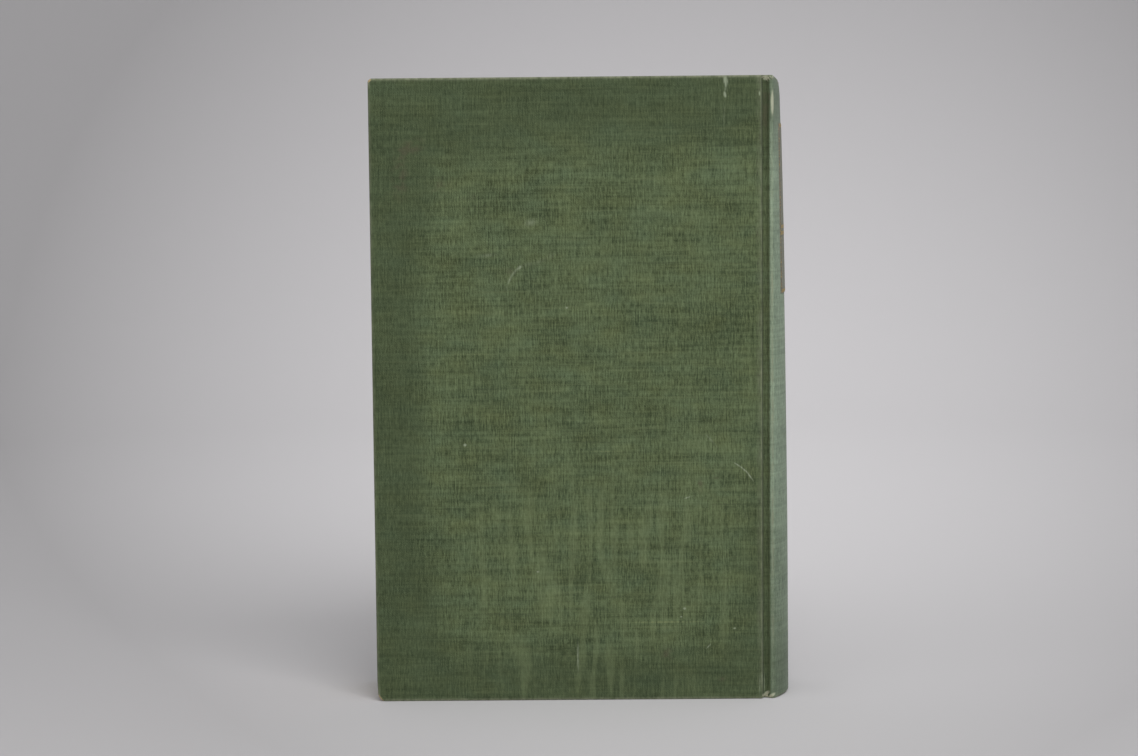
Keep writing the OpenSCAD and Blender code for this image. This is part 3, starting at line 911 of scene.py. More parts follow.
def strip_sides(line, thickness):
    """Both faces of a strip of paper along a line, kept under the flare of the shoulder."""
    left, right = [], []
    for i, p in enumerate(line):
        before, after = line[max(i - 1, 0)], line[min(i + 1, len(line) - 1)]
        along = Vector((after[0] - before[0], after[1] - before[1])).normalized()
        for out, way in ((left, 1), (right, -1)):
            u = p[0] - way * along.y * thickness / 2
            y = p[1] + way * along.x * thickness / 2
            most = flare_y(u) - 0.02
            out.append((u, max(-most, min(most, y))))
    return left, right


print("points along one folded sheet:", len(sheet_line(0, 0)))

# %% All the folded sheets
SHEET_T = 0.15
LEAF_HEIGHTS = [LEAF_Z0 + LEAF_H * k / 4 for k in range(5)]
dice = random.Random(11)
points, faces, flat, tones = [], [], [], []
for section in range(SECTIONS):
    section_tone = dice.uniform(-0.5, 0.5)
    step_z = dice.uniform(-0.10, 0.0)
    for sheet in range(SHEETS):
        left, right = strip_sides(sheet_line(section, sheet), SHEET_T)
        ring = left + right[::-1]
        tone = 0.5 + 0.6 * section_tone + dice.uniform(-0.2, 0.2)
        trim = step_z + dice.uniform(-0.05, 0.0)
        start = len(points)
        lengths = [0.0]
        for a, b in zip(ring, ring[1:]):
            lengths.append(lengths[-1] + math.dist(a, b))
        for (u, y), length in zip(ring, lengths):
            for z in LEAF_HEIGHTS:
                if z == LEAF_HEIGHTS[-1]:
                    z += trim
                points.append((u, y, z))
                flat.append((length, z))
                tones.append(tone)
        count, rows = len(ring), len(LEAF_HEIGHTS)
        faces += grid_faces(count, rows, start, flip=True, ring=True)
        for k in range(len(left) - 1):
            a, b, c, d = k, k + 1, count - 2 - k, count - 1 - k
            faces.append(tuple(start + i * rows for i in (a, b, c, d)))
            faces.append(tuple(start + i * rows + rows - 1 for i in (d, c, b, a)))
leaves = make_piece("folded_leaves", points, faces, flat, {"tone": tones}, sharp=35)
stand_for(leaves, "text_block")

# %% [markdown]
# The endpapers are one folded sheet at each side. Its free half, the flyleaf, lies on the leaves and climbs
# the flare. The other half crosses the joint and is pasted to the board, where it shows the edges of the
# turned-in cloth and of the mull beneath it.

# %% Flyleaf
FOLD_U = -0.9                       # where the folded sheet is folded
FLY_ROWS = 24
FLY_FACE, FLY_T, FLY_WAVE = 0.18, 0.16, 0.07    # outer face over the leaves, thickness, and rise of the waves


def flyleaf_points(side):
    us = [-LEAF_W + 3.0 * k for k in range(48)] + [FLARE_U - 0.6 + 0.25 * k for k in range(11)] + [FOLD_U]
    us = [u for u in us if u <= FOLD_U]
    points, flat = [], []
    for u in us:
        for k in range(FLY_ROWS):
            z = LEAF_Z0 + LEAF_H * k / (FLY_ROWS - 1)
            # Far from the fold the leaf is a little wavy
            wave = smoothstep(0.5 + noise.noise((u / 40, z / 50, side * 4.0)))
            y = flare_y(u) + FLY_FACE + FLY_WAVE * smoothstep((-90 - u) / 50) * wave
            points.append((u, side * y, z))
            flat.append((side * (200 + u), z))
    return points, grid_faces(len(us), FLY_ROWS, flip=side > 0), flat


print("points of a flyleaf:", len(flyleaf_points(1)[0]))

# %% Section of a pasted leaf
HINGE_R = 3.36                      # beyond the board the leaf follows the flare a little more closely
BOARD_END = WALL_X - CLOTH_T
WINDOW_X = FORE_X + CLOTH_T + TURN_IN
FLAP_START = BOARD_END - 28.0       # the mull reaches this far onto the board
MULL_INSET = 14.0
FLAP_Z0, FLAP_Z1 = LEAF_Z0 + MULL_INSET, LEAF_Z1 - MULL_INSET


def pasted_y(u, z):
    """Inner face of the pasted leaf: over the turn-ins, over the mull flap, or sunk onto the board."""
    edge = 1.1
    turned = max(smoothstep((WINDOW_X - u) / edge + 0.5), smoothstep((TURN_IN - z) / edge + 0.5),
                 smoothstep((z - CASE_H + TURN_IN) / edge + 0.5))
    mull = (smoothstep((u - FLAP_START) / edge + 0.5) * smoothstep((z - FLAP_Z0) / edge + 0.5)
            * smoothstep((FLAP_Z1 - z) / edge + 0.5))
    return BOARD_Y0 - PAPER_T - max(turned * CLOTH_T, mull * MULL_T)


print("window of bare board under the leaf starts at, mm:", round(WINDOW_X, 1))

# %% Both pairs of endpapers
HINGE_STEPS = 16
PASTED_T = 0.18


def pasted_points(side):
    fine = [-0.8, -0.4, 0.0, 0.4, 0.8]
    us = [-LEAF_W + 3.0 * k for k in range(4)] + [WINDOW_X + d for d in fine]
    us += [WINDOW_X + 3 + 3.3 * k for k in range(30)] + [FLAP_START + d for d in fine]
    us += [FLAP_START + 3.5 + 3.4 * k for k in range(8)] + [BOARD_END]
    zs = [LEAF_Z0 + 3.5 * k for k in range(4)] + [TURN_IN + d for d in fine]
    zs += [FLAP_Z0 + d for d in (0, 0.4, 0.8)] + [22 + 5.0 * k for k in range(39)]
    zs += [CASE_H - z for z in reversed(zs[:12])]
    zs = sorted(z for z in zs if LEAF_Z0 <= z <= LEAF_Z1)
    points, flat = [], []
    for u in us:
        for z in zs:
            points.append((u, side * pasted_y(u, z), z))
            flat.append((side * (-u), z))
    hinge = [BOARD_END + (FOLD_U - BOARD_END) * k / HINGE_STEPS for k in range(1, HINGE_STEPS + 1)]
    for u in hinge:
        for z in zs:
            follow = smoothstep((u - BOARD_END) / 0.8)
            radius = (FLARE_Y - pasted_y(BOARD_END, z)) * (1 - follow) + HINGE_R * follow
            y = FLARE_Y - math.sqrt(radius ** 2 - (u - FLARE_U) ** 2)
            points.append((u, side * y, z))
            flat.append((side * (-u), z))
    us = us + hinge
    return points, grid_faces(len(us), len(zs), flip=side > 0), flat


for name, side in HALVES:
    flyleaf = make_piece(f"{name}_flyleaf_sheet", *flyleaf_points(side), None, FLY_T)
    stand_for(flyleaf, f"{name}_flyleaf")
    pasted = make_piece(f"{name}_pasted_leaf", *pasted_points(side), None, PASTED_T)
    bend_at_joint(pasted, name)
    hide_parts(f"{name}_pastedown")

# %% [markdown]
# Paper in an old book is no longer white. The leaves have yellowed, most of all at their trimmed edges
# where dust and air get in, and the endpapers carry small brown spots called foxing. Both are matt, with
# the faint tooth that the felts of the paper machine leave.

# %% Paper
CLOUDS, TOOTH, SPOTS = 24.0, 1800.0, 210.0  # per metre: clouds 42 mm, tooth 0.6 mm and spots 5 mm across


def paper(name, base, dark, spots, edge_colour=None):
    material, tree = new_material(name)
    place = add_node(tree, "UVMap", uv_map="cut").outputs[0]
    cloudy = add_node(tree, "TexNoise", {
        "Vector": place, "Scale": CLOUDS, "Detail": 4.0, "Roughness": 0.6}).outputs[0]
    tooth = add_node(tree, "TexNoise", {"Vector": place, "Scale": TOOTH, "Detail": 3.0}).outputs[0]
    tone = add_node(tree, "Attribute", attribute_name="tone").outputs["Fac"]
    cloud = add_node(tree, "MapRange", {"Value": cloudy, "From Min": 0.3, "From Max": 0.75}).outputs[0]
    colour = add_node(tree, "Mix", {0: cloud, 6: linear(base), 7: linear(dark)}, data_type="RGBA").outputs[2]
    if edge_colour:
        strong = add_node(tree, "Math", {0: tone, 1: 0.6}, operation="MULTIPLY").outputs[0]
        colour = add_node(tree, "Mix", {
            0: strong, 6: colour, 7: linear(edge_colour)}, data_type="RGBA").outputs[2]
    fox = add_node(tree, "TexNoise", {
        "Vector": place, "Scale": SPOTS, "Detail": 2.0, "Roughness": 0.4}).outputs[0]
    rare = add_node(tree, "MapRange", {
        "Value": fox, "From Min": 0.70, "From Max": 0.80, "To Max": spots}).outputs[0]
    colour = add_node(tree, "Mix", {0: rare, 6: colour, 7: linear("#9c7a4c")}, data_type="RGBA").outputs[2]
    bump = add_node(tree, "Bump", {"Strength": 0.25, "Distance": 0.00004, "Height": tooth})
    shader = add_node(tree, "BsdfPrincipled", {
        "Base Color": colour, "Roughness": 0.88, "IOR": 1.5, "Specular IOR Level": 0.25,
        "Normal": bump.outputs[0]})
    add_node(tree, "OutputMaterial", {0: shader.outputs[0]})
    return material


leaf_paper = paper("wove_book_paper_trimmed", "#d3c7a7", "#c2b38c", 0.3, "#a8966c")
end_paper = paper("wove_endpaper_foxed", "#dcd2b8", "#cdbf9c", 0.8)
leaves.data.materials.append(leaf_paper)
for name, _ in HALVES:
    bpy.data.objects[f"{name}_flyleaf_sheet"].data.materials.append(end_paper)
    bpy.data.objects[f"{name}_pasted_leaf"].data.materials.append(end_paper)
print("paper finishes:", leaf_paper.name, end_paper.name)

# %% [markdown]
# Behind the spine cloth lie the layers that hold the back: open-weave mull, a paper lining, and, past the
# hollow, the card inlay. Each is a thin shell round the same centre, so one function bends them all, and
# the label and its gilt rules too. The shells follow the lean of the spine because every point goes through
# frame_point.

# %% A shell round the back
def shell(angles, heights, outer_r, inner_r):
    """A closed shell round the back. outer_r and inner_r give a radius for an angle and a height."""
    points, flat = [], []
    for radius in (outer_r, inner_r):
        for a in angles:
            for z in heights:
                r = radius(a, z)
                u, y = polar(BACK_X, 0, r, a)
                points.append((u, y, z))
                flat.append((math.radians(a) * r, z))
    columns, rows = len(angles), len(heights)
    behind = columns * rows
    faces = grid_faces(columns, rows) + grid_faces(columns, rows, behind, flip=True)
    for j in range(rows - 1):
        faces.append((j, j + 1, behind + j + 1, behind + j))
        k = (columns - 1) * rows + j
        faces.append((k + 1, k, behind + k, behind + k + 1))
    for i in range(columns - 1):
        a, b = i * rows, (i + 1) * rows
        faces.append((b, a, behind + a, behind + b))
        a, b = a + rows - 1, b + rows - 1
        faces.append((a, b, behind + b, behind + a))
    return points, faces, flat


def spread(low, high, steps):
    return [low + (high - low) * k / steps for k in range(steps + 1)]


print("faces of the smallest shell:", len(shell([0, 1], [0, 1], lambda a, z: 2, lambda a, z: 1)[1]))

# %% Mull, lining and inlay
def layer(name, node, slot, inner, outer, half_a, z0, z1):
    angles = spread(-half_a, half_a, 28)
    heights = spread(z0, z1, 24)
    piece = make_piece(name, *shell(angles, heights, lambda a, z: outer, lambda a, z: inner))
    stand_for(piece, node)
    return piece


mull = layer("spine_mull_layer", "spine_mull", "mull", BACK_R + 0.02, MULL_R - 0.02,
             BACK_A - SECTION_A / 2, FLAP_Z0, FLAP_Z1)
lining = layer("spine_lining_layer", "spine_lining", "lining", MULL_R, LINING_R - 0.02,
               BACK_A - SECTION_A, LEAF_Z0 + 1, LEAF_Z1 - 1)
INLAY_Z0, INLAY_Z1 = 2.0, CASE_H - 2.6     # the card ends under the worn caps
inlay = layer("spine_inlay_layer", "spine_inlay", "inlay_card", INLAY_R0, INLAY_R1 - 0.03,
              RIDGE_A - SECTION_A, INLAY_Z0, INLAY_Z1)

# %% [markdown]
# The label is a thin piece of leather glued round the spine. A binder pares its edges to a feather so that
# they do not catch, which is why its thickness falls to almost nothing over the last millimetre. A gilt
# frame with a pair of rules across it is tooled on its face, and the panels above and below the pair are
# plain.

# %% Leather label
LABEL_W, LABEL_H, LABEL_DROP = 25.0, 64.0, 17.7     # width along the curve, height, distance from the head
LABEL_A = math.degrees(LABEL_W / 2 / SPINE_R)
LABEL_Z1 = CASE_H - LABEL_DROP
LABEL_Z0 = LABEL_Z1 - LABEL_H
FEATHER_T = 0.06                    # thickness of the pared edge


def label_top(a, z):
    """Radius of the face of the label, pared thin towards its edges."""
    side = (LABEL_A - abs(a)) / 180 * math.pi * SPINE_R
    edge = min(side, z - LABEL_Z0, LABEL_Z1 - z)
    worn = 0.03 * noise.noise((a / 3, z / 6, 2.0))
    return SPINE_R + FEATHER_T + (LABEL_T - FEATHER_T + worn) * smoothstep(edge + 0.12)


def edge_steps(low, high, steps):
    return [low, low + 0.25, low + 0.55, low + 0.9] + spread(low + 1.6, high - 1.6, steps) + [
        high - 0.9, high - 0.55, high - 0.25, high]


side_span = math.radians(LABEL_A) * SPINE_R
label_angles = [math.degrees(x / SPINE_R) for x in edge_steps(-side_span, side_span, 18)]
label = make_piece("leather_label", *shell(
    label_angles, edge_steps(LABEL_Z0, LABEL_Z1, 36), label_top, lambda a, z: SPINE_R - 0.05))
stand_for(label, "spine_label")

# %% Gilt rules
LABEL_R = SPINE_R + LABEL_T
RULE_W, SIDE_RULE_W, RULE_MARGIN = 1.3, 0.6, 0.4
PAIR_DROP, PAIR_GAP = 38.2, 1.1
rule_top, rule_bottom = LABEL_Z1 - RULE_MARGIN, LABEL_Z0 + RULE_MARGIN
pair_top = LABEL_Z1 - PAIR_DROP
rule_a = LABEL_A - math.degrees(RULE_MARGIN / LABEL_R)
side_a = rule_a - math.degrees(SIDE_RULE_W / LABEL_R)
tops = (rule_bottom + RULE_W, pair_top - RULE_W - PAIR_GAP, pair_top, rule_top)
bands = [(top - RULE_W, top) for top in tops]
GILT_RISE, GILT_ROOT = 0.045, 0.03  # face of the gold above the leather, and how far it is sunk into it
patches = [(spread(-side_a, side_a, 20), spread(z0, z1, 3), 0.0) for z0, z1 in bands]
patches += [(spread(a0, a1, 3), spread(rule_bottom, rule_top, 40), 1.0) for a0, a1 in
            ((-rule_a, -side_a), (side_a, rule_a))]
parts, wear = [], []
for angles, heights, rubbed in patches:
    parts.append(shell(
        angles, heights, lambda a, z: label_top(a, z) + GILT_RISE, lambda a, z: label_top(a, z) - GILT_ROOT))
    wear += [rubbed] * len(parts[-1][0])
rules = make_piece("gilt_label_frame", *joined(parts), {"rub": wear})
stand_for(rules, "label_rules")

# %% [markdown]
# An endband is sewn or stuck on at head and tail to fill the step between the leaves and the square of the
# boards. Silk in two colours is wound over a cord, so the bead is built as a tube whose girth rises and
# falls with each turn of silk. The sewing that holds the sections runs across the back in eight rows of
# linen thread.

# %% Endbands
BEAD_R = 0.8
WRAP, WRAP_DEPTH = 0.55, 0.07       # width of one turn of silk, and depth of the line between two turns


def tube_faces(rings, sides, flip=False):
    """The wall of a tube and its two ends, for points that are listed ring by ring."""
    faces = []
    for i in range(rings - 1):
        for j in range(sides):
            a, b = i * sides + j, i * sides + (j + 1) % sides
            faces.append((a, a + sides, b + sides, b))
    faces.append(tuple(range(sides)))
    faces.append(tuple((rings - 1) * sides + j for j in reversed(range(sides))))
    return [face[::-1] for face in faces] if flip else faces


def tube(radius_at, centre_r, z, half_a, steps, sides):
    """A tube that lies round the back at one height."""
    points, flat = [], []
    for i in range(steps + 1):
        a = -half_a + 2 * half_a * i / steps
        length = math.radians(a) * centre_r
        for j in range(sides):
            r = radius_at(length)
            dr, dz = polar(0, 0, r, 360 * j / sides)
            u, y = polar(BACK_X, 0, centre_r + dr, a)
            points.append((u, y, z + dz))
            flat.append((length, z + r * 2 * math.pi * j / sides))
    return points, tube_faces(steps + 1, sides), flat


def silk_girth(length):
    return BEAD_R - WRAP_DEPTH + WRAP_DEPTH * abs(math.cos(math.pi * length / WRAP))


band_a = BACK_A - SECTION_A / 2
for name, z, tape in (("head", LEAF_Z1 + BEAD_R, (LEAF_Z1 - 8, LEAF_Z1 + 0.6)),
                      ("tail", LEAF_Z0 - BEAD_R, (LEAF_Z0 - 0.6, LEAF_Z0 + 8))):
    bead = tube(silk_girth, MULL_R - BEAD_R, z, band_a, 384, 12)
    ribbon = shell(spread(-band_a, band_a, 28), spread(*tape, 4),
                   lambda a, z: MULL_R - 0.02, lambda a, z: BACK_R + 0.02)
    band = make_piece(f"{name}_endband", *joined([bead, ribbon]))
    stand_for(band, f"{name}_band")

# %% Sewing
THREAD_D, TWIST = 0.5, 0.9          # thickness of the thread, and length of one twist
KERF_DEPTH = 1.04 * BACK_R * math.radians(SECTION_A) / 4 + THREAD_D     # through the back of a section
THREAD_R = BACK_R - KERF_DEPTH + 0.55 * THREAD_D
KETTLE_INSET, STITCH_GAP = 13, 12   # first row from head and tail, and the distance of two rows in a pair
kettles = [LEAF_Z0 + KETTLE_INSET, LEAF_Z1 - KETTLE_INSET]
pairs = [LEAF_Z0 + KETTLE_INSET + (LEAF_H - 2 * KETTLE_INSET) * k / 4 + way * STITCH_GAP / 2
         for k in (1, 2, 3) for way in (-1, 1)]
sewing = make_piece("linen_sewing", *joined([
    tube(lambda length: THREAD_D / 2 * (0.94 + 0.06 * math.cos(2 * math.pi * length / TWIST)), THREAD_R, z,
         BACK_A - SECTION_A, 120, 8) for z in kettles + pairs]))
stand_for(sewing, "sewing_thread")

# %% [markdown]
# At the ends of each joint the fold of the cloth has rubbed through, and short undyed threads stand out of
# it. Each is a thin bent tube that lies on the cloth, so it is placed by its distance along the section and
# its height.

# %% One frayed thread
def on_section(flat_x, proud):
    """Point of the front half of the section, a little proud of the cloth."""
    columns = spine_half + joint_half[1:]
    for a, b in zip(columns, columns[1:]):
        if a["flat"] <= flat_x <= b["flat"]:
            share = (flat_x - a["flat"]) / (b["flat"] - a["flat"])
            outer = Vector(a["outer"]).lerp(Vector(b["outer"]), share)
            inner = Vector(a["inner"]).lerp(Vector(b["inner"]), share)
            return outer + (outer - inner).normalized() * proud


def strand(line, radius, sides=6):
    """A thin tube along a line of points, pointed at its far end."""
    points, flat = [], []
    for i, at in enumerate(line):
        along = (line[min(i + 1, len(line) - 1)] - line[max(i - 1, 0)]).normalized()
        aside = along.cross(Vector((0.3, 1.0, 0.2))).normalized()
        over = along.cross(aside)
        r = radius * (1 - 0.8 * (i / (len(line) - 1)) ** 3)
        for j in range(sides):
            c, s = polar(0, 0, r, 360 * j / sides)
            points.append(tuple(at + aside * c + over * s))
            flat.append((j, i))
    return points, tube_faces(len(line), sides, flip=True), flat


print("a place on the ridge, mm:", [round(x, 2) for x in on_section(spine_half[-5]["flat"], 0.0)])

# %% Frayed threads
FRAY_R = 0.11


def fray(side, seed):
    dice = random.Random(seed)
    strands = []
    ridge_flat, wall_flat = spine_half[-7]["flat"], joint_half[-4]["flat"]
    for end, count in ((0, 11), (1, 6)):
        for _ in range(count):
            start = dice.uniform(ridge_flat, wall_flat)
            reach, rise = dice.uniform(0.6, 2.2), dice.uniform(0.5, 2.2)
            way = dice.choice((-1, 1))
            low = dice.uniform(0.3, 0.9)
            line = []
            for k in range(7):
                t = k / 6
                flat_x = min(max(start + way * reach * t, ridge_flat), wall_flat)
                u, y = on_section(flat_x, FRAY_R * 0.6 + 0.28 * math.sin(math.pi * t) * t)
                z = low + rise * t
                line.append(Vector((u, side * y, CASE_H - z if end else z)))
            strands.append(strand(line, FRAY_R * dice.uniform(0.8, 1.2)))
    return joined(strands)


for name, side in HALVES:
    tuft = make_piece(f"{name}_frayed_threads", *fray(side, 5 + side))
    bend_at_joint(tuft, name)

# %% [markdown]
# Leather, gold leaf, silk, linen, mull, lining paper, card and greyboard. Each is a short material of its
# own. Goat leather has a pebbled grain a little under a millimetre across and has dried to a grey brown.
# Gold leaf has worn away where fingers and shelves have rubbed it, so it is mixed with the leather colour
# by a broken mask.

# %% Plain finishes
def plain_finish(name, light, dark, grain_mm, roughness, relief_mm):
    """A matt material with one grain, drawn from its real size."""
    material, tree = new_material(name)
    place = add_node(tree, "UVMap", uv_map="cut").outputs[0]
    grain = add_node(tree, "TexNoise", {
        "Vector": place, "Scale": 1 / (grain_mm * MM), "Detail": 3.0, "Roughness": 0.6}).outputs[0]
    share = add_node(tree, "MapRange", {"Value": grain, "From Min": 0.3, "From Max": 0.7}).outputs[0]
    colour = add_node(tree, "Mix", {0: share, 6: linear(light), 7: linear(dark)}, data_type="RGBA").outputs[2]
    bump = add_node(tree, "Bump", {"Strength": 0.6, "Distance": relief_mm * MM, "Height": grain})
    shader = add_node(tree, "BsdfPrincipled", {
        "Base Color": colour, "Roughness": roughness, "IOR": 1.5, "Specular IOR Level": 0.3,
        "Normal": bump.outputs[0]})
    add_node(tree, "OutputMaterial", {0: shader.outputs[0]})
    return material


label.data.materials.append(plain_finish("goatskin_pared_dyed", "#888a7c", "#6a6b5e", 0.9, 0.6, 0.06))
sewing.data.materials.append(plain_finish("linen_thread_waxed", "#d2c39b", "#b7a67b", 0.4, 0.7, 0.05))
frayed_cotton = plain_finish("cotton_thread_undyed", "#b5b39b", "#8f8e74", 0.5, 0.85, 0.03)
for name, _ in HALVES:
    bpy.data.objects[f"{name}_frayed_threads"].data.materials.append(frayed_cotton)
mull_cotton = plain_finish("cotton_mull_open_weave", "#d9ceb2", "#b9ab87", 0.5, 0.85, 0.08)
mull.data.materials.append(mull_cotton)
lining.data.materials.append(plain_finish("kraft_lining_paper", "#b79a6f", "#a48760", 2.0, 0.85, 0.02))
inlay.data.materials.append(plain_finish("rolled_inlay_card", "#9b968b", "#878277", 1.5, 0.9, 0.03))
greyboard = plain_finish("pressed_greyboard", "#9d9688", "#857e70", 1.2, 0.92, 0.05)
print("materials so far:", len(bpy.data.materials))

# %% Gold leaf
FLAKES = 900.0                      # per metre: the worn places are about 1 mm across


def gold_leaf():
    material, tree = new_material("gold_leaf_tooled_worn")
    place = add_node(tree, "UVMap", uv_map="cut").outputs[0]
    rubbed = add_node(tree, "TexNoise", {
        "Vector": place, "Scale": FLAKES, "Detail": 4.0, "Roughness": 0.7}).outputs[0]
    wear = add_node(tree, "Attribute", attribute_name="rub").outputs["Fac"]
    rubbed = add_node(tree, "Math", {0: wear, 1: 0.16, 2: rubbed}, operation="MULTIPLY_ADD").outputs[0]
    gone = add_node(tree, "MapRange", {"Value": rubbed, "From Min": 0.52, "From Max": 0.66}).outputs[0]
    colour = add_node(tree, "Mix", {
        0: gone, 6: linear("#b59d5e"), 7: linear("#5f5b4e")}, data_type="RGBA").outputs[2]
    metal = add_node(tree, "MapRange", {
        "Value": rubbed, "From Min": 0.52, "From Max": 0.66, "To Min": 0.85, "To Max": 0.0}).outputs[0]
    bump = add_node(tree, "Bump", {"Strength": 0.3, "Distance": 0.00003, "Height": rubbed})
    shader = add_node(tree, "BsdfPrincipled", {
        "Base Color": colour, "Metallic": metal, "Roughness": 0.42, "Normal": bump.outputs[0]})
    add_node(tree, "OutputMaterial", {0: shader.outputs[0]})
    return material


rules.data.materials.append(gold_leaf())
print("gilt rules:", rules.data.materials[0].name)

# %% Wound silk
def wound_silk():
    material, tree = new_material("silk_thread_wound_two_colours")
    place = add_node(tree, "UVMap", uv_map="cut").outputs[0]
    split = add_node(tree, "SeparateXYZ", {0: place})
    turn = add_node(tree, "Math", {
        0: split.outputs[0], 1: 2 * math.pi / (4 * WRAP * MM)}, operation="MULTIPLY")
    wave = add_node(tree, "Math", {0: turn.outputs[0]}, operation="SINE")
    step = add_node(tree, "MapRange", {
        "Value": wave.outputs[0], "From Min": -0.06, "From Max": 0.06}).outputs[0]
    colour = add_node(tree, "Mix", {
        0: step, 6: linear("#cfc4a4"), 7: linear("#56633f")}, data_type="RGBA").outputs[2]
    shader = add_node(tree, "BsdfPrincipled", {
        "Base Color": colour, "Roughness": 0.45, "IOR": 1.54, "Sheen Weight": 0.2})
    add_node(tree, "OutputMaterial", {0: shader.outputs[0]})
    return material


silk = wound_silk()
for name in ("head_endband", "tail_endband"):
    bpy.data.objects[name].data.materials.append(silk)
print("endbands:", silk.name)

# %% [markdown]
# The boards and the mull flaps are the CAD's own solids. Their shapes are right, so they keep them and only
# get a material. They have no UV map, so their grain is drawn from the object's own coordinates.

# %% Boards and flaps
def on_solid(source, name):
    """A copy of a finish that reads the solid's own coordinates instead of a UV map."""
    material = source.copy()
    material.name = name
    tree = material.node_tree
    old = next(n for n in tree.nodes if n.type == "UVMAP")
    solid = add_node(tree, "TexCoord").outputs["Object"]
    for link in list(old.outputs[0].links):
        tree.links.new(solid, link.to_socket)
    tree.nodes.remove(old)
    return material


solid_board = on_solid(greyboard, "pressed_greyboard_solid")
solid_mull = on_solid(mull_cotton, "cotton_mull_solid")
for name, material in (("front_board", solid_board), ("rear_board", solid_board),
                       ("front_mull_flap", solid_mull), ("rear_mull_flap", solid_mull)):
    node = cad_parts[name]
    node.data.materials.clear()
    node.data.materials.append(material)

# %% [markdown]
# The book stands on pale paper that runs out flat on all sides and curves up into a low wall, like the
# inside of a bowl, so no line shows behind the book from any side. The paper's colour carries painted light:
# a soft pool of light just right of the book, and painted shade towards the left.

# %% Painted light on the paper
GLOW = (0.07, 1.0, 0.0)             # middle of the painted pool of light, in metres
GLOW_LEVEL, GLOW_FALL = 0.87, 0.266 # share of white there, and how fast it falls with the distance squared
BEAM_START, BEAM_LEAST = -1.0, 0.6  # the light widens like a beam from here in front of the book
BEAM_MIDDLE, BEAM_FALL = 0.032, 6.4
DARKEST, PALE_ELSEWHERE = 0.465, 0.61


def backdrop_paper():
    material, tree = new_material("seamless_background_paper")
    at = add_node(tree, "TexCoord").outputs["Object"]
    split = add_node(tree, "SeparateXYZ", {0: at})
    # Painted pool of light round the glow
    away = add_node(tree, "VectorMath", {0: at, 1: GLOW}, operation="DISTANCE").outputs["Value"]
    away = add_node(tree, "Math", {0: away, 1: away}, operation="MULTIPLY").outputs[0]
    glow = add_node(tree, "Math", {
        0: away, 1: -GLOW_FALL, 2: GLOW_LEVEL}, operation="MULTIPLY_ADD").outputs[0]
    # Painted beam of light across the paper, with painted shade to its sides
    ahead = add_node(tree, "Math", {0: split.outputs[1], 1: -BEAM_START}, operation="ADD").outputs[0]
    ahead = add_node(tree, "Math", {0: ahead, 1: BEAM_LEAST}, operation="MAXIMUM").outputs[0]
    slant = add_node(tree, "Math", {0: split.outputs[0], 1: ahead}, operation="DIVIDE").outputs[0]
    slant = add_node(tree, "Math", {0: slant, 1: BEAM_MIDDLE}, operation="SUBTRACT").outputs[0]
    wide = add_node(tree, "Math", {0: slant, 1: slant}, operation="MULTIPLY").outputs[0]
    beam = add_node(tree, "Math", {0: wide, 1: -BEAM_FALL, 2: 1.0}, operation="MULTIPLY_ADD").outputs[0]
    tone = add_node(tree, "Math", {0: glow, 1: beam}, operation="MULTIPLY").outputs[0]
    # The painted shade goes no darker than this
    tone = add_node(tree, "Math", {0: tone, 1: DARKEST}, operation="MAXIMUM").outputs[0]
    # Plain and pale to the sides and in front of the book
    aside = add_node(tree, "MapRange", {
        "Value": wide, "From Min": 0.05, "From Max": 0.9}, interpolation_type="SMOOTHSTEP").outputs[0]
    before = add_node(tree, "MapRange", {
        "Value": split.outputs[1], "From Min": 0.1, "From Max": -0.8},
        interpolation_type="SMOOTHSTEP").outputs[0]
    plain = add_node(tree, "Math", {0: aside, 1: before}, operation="MAXIMUM").outputs[0]
    tone = add_node(tree, "Mix", {0: plain, 2: tone, 3: PALE_ELSEWHERE}).outputs[0]
    colour = add_node(tree, "Mix", {
        0: tone, 6: linear("#000000"), 7: linear("#fffdff")}, data_type="RGBA").outputs[2]
    shader = add_node(tree, "BsdfPrincipled", {
        "Base Color": colour, "Roughness": 0.95, "Specular IOR Level": 0.1})
    add_node(tree, "OutputMaterial", {0: shader.outputs[0]})
    return material


seamless_paper = backdrop_paper()
print("backdrop nodes:", len(seamless_paper.node_tree.nodes))

# %% Floor and backdrop
BOWL_R, BEND_R, WALL_TOP = 0.9, 1.5, 1.6


def seamless_bowl():
    profile = [(0.0, 0.0), (BOWL_R / 2, 0.0), (BOWL_R, 0.0)]
    for a in range(3, 91, 3):
        r, z = polar(BOWL_R, BEND_R, BEND_R, a - 90)
        profile.append((r, z))
    profile.append((BOWL_R + BEND_R, WALL_TOP))
    bm = bmesh.new()
    verts = [bm.verts.new((r, 0, z)) for r, z in profile]
    edges = [bm.edges.new(pair) for pair in zip(verts, verts[1:])]
    bmesh.ops.spin(bm, geom=verts + edges, cent=(0, 0, 0), axis=(0, 0, 1), angle=2 * math.pi, steps=96,
                   use_merge=True)
    bmesh.ops.remove_doubles(bm, verts=bm.verts, dist=1e-6)
    bmesh.ops.recalc_face_normals(bm, faces=bm.faces)
    for face in bm.faces:
        face.smooth = True
    mesh = bpy.data.meshes.new("seamless_bowl")
    bm.to_mesh(mesh)
    bm.free()
    bowl = bpy.data.objects.new("seamless_bowl", mesh)
    bpy.context.scene.collection.objects.link(bowl)
    return bowl


backdrop = seamless_bowl()
backdrop.data.materials.append(seamless_paper)
print("backdrop faces:", len(backdrop.data.polygons))

# %% [markdown]
# Two large soft boxes and a pale world light the book, so its shadows are faint. The stronger box stands
# high to the right, in front, so the left edge is a little darker, as in the photograph. The levels are set
# so that a colour renders about as it is written. The boxes themselves do not show in the picture.

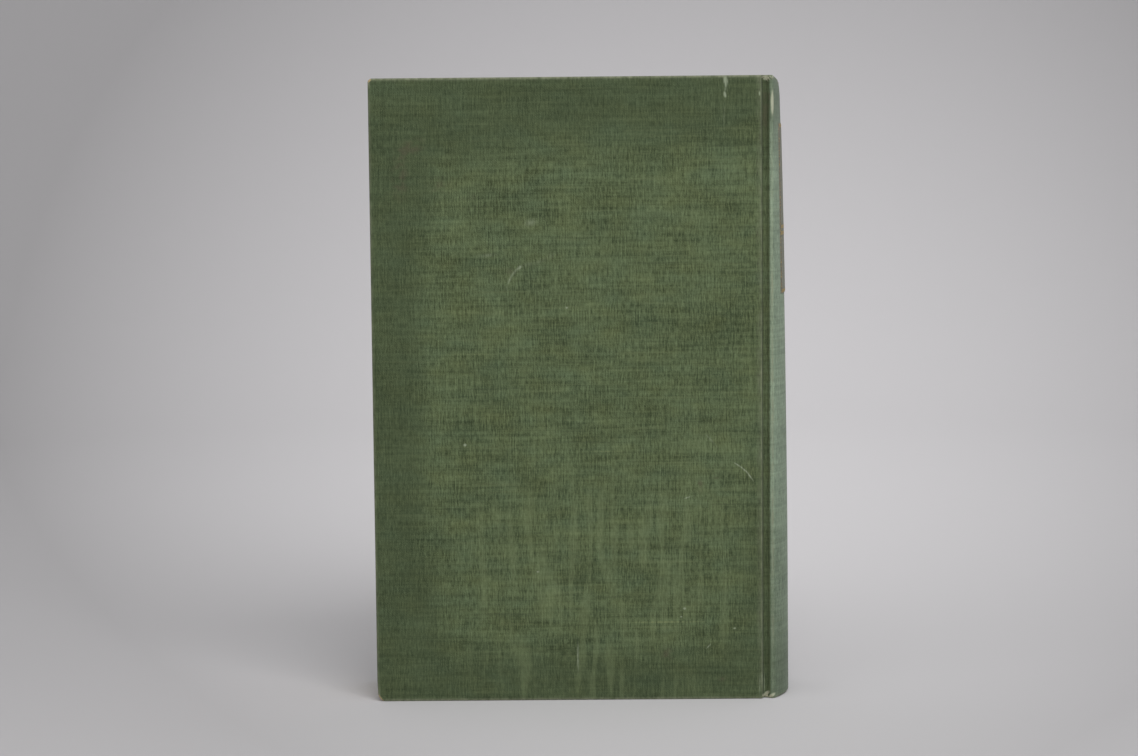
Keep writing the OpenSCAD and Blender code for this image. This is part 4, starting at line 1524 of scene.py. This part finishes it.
# %% Light
def soft_box(name, place, target, size, watts):
    lamp = bpy.data.lights.new(name, "AREA")
    lamp.shape = "SQUARE"
    lamp.size = size
    lamp.energy = watts
    box = bpy.data.objects.new(name, lamp)
    box.location = place
    box.rotation_euler = (Vector(target) - Vector(place)).to_track_quat("-Z", "Y").to_euler()
    box.visible_camera = False
    bpy.context.scene.collection.objects.link(box)


soft_box("key_box", (0.5, -1.45, 1.55), (0, 0, 0.1), 1.35, 29)
soft_box("fill_box", (-1.0, -1.25, 1.1), (0, 0, 0.1), 1.5, 3.5)
WORLD_LEVEL = 0.54
world = bpy.data.worlds.new("studio")
world.use_nodes = True
world.node_tree.nodes["Background"].inputs["Color"].default_value = linear("#ffffff")
world.node_tree.nodes["Background"].inputs["Strength"].default_value = WORLD_LEVEL
bpy.context.scene.world = world
bpy.context.scene.view_settings.view_transform = "Standard"
print("lamps:", len(bpy.data.lights))

# %% [markdown]
# The camera stands a metre away, almost level with the head of the book and looking slightly down, a little
# right of the middle. Its place comes from the edges of the cover in the photograph. It is rolled half a
# degree.

# %% Camera
FOCAL_PX, IMAGE_W = 2650, 1138      # focal length and width of the picture, both in pixels
SENSOR_MM = 36
STAND = (0.00356, -1.0071, 0.2209)
YAW, PITCH, ROLL = math.radians(0.47), math.radians(5.67), math.radians(-0.52)
forward = Vector((-math.sin(YAW) * math.cos(PITCH), math.cos(YAW) * math.cos(PITCH), -math.sin(PITCH)))
level = Vector((math.cos(YAW), math.sin(YAW), 0))
upward = level.cross(forward)
right = math.cos(ROLL) * level + math.sin(ROLL) * upward
up = -math.sin(ROLL) * level + math.cos(ROLL) * upward
camera = bpy.data.objects.new("camera", bpy.data.cameras.new("camera"))
camera.data.sensor_width = SENSOR_MM
camera.data.lens = FOCAL_PX / IMAGE_W * SENSOR_MM
camera.matrix_world = Matrix.Translation(STAND) @ Matrix((right, up, -forward)).transposed().to_4x4()
bpy.context.scene.collection.objects.link(camera)
bpy.context.scene.camera = camera
print("lens in mm:", round(camera.data.lens, 1))
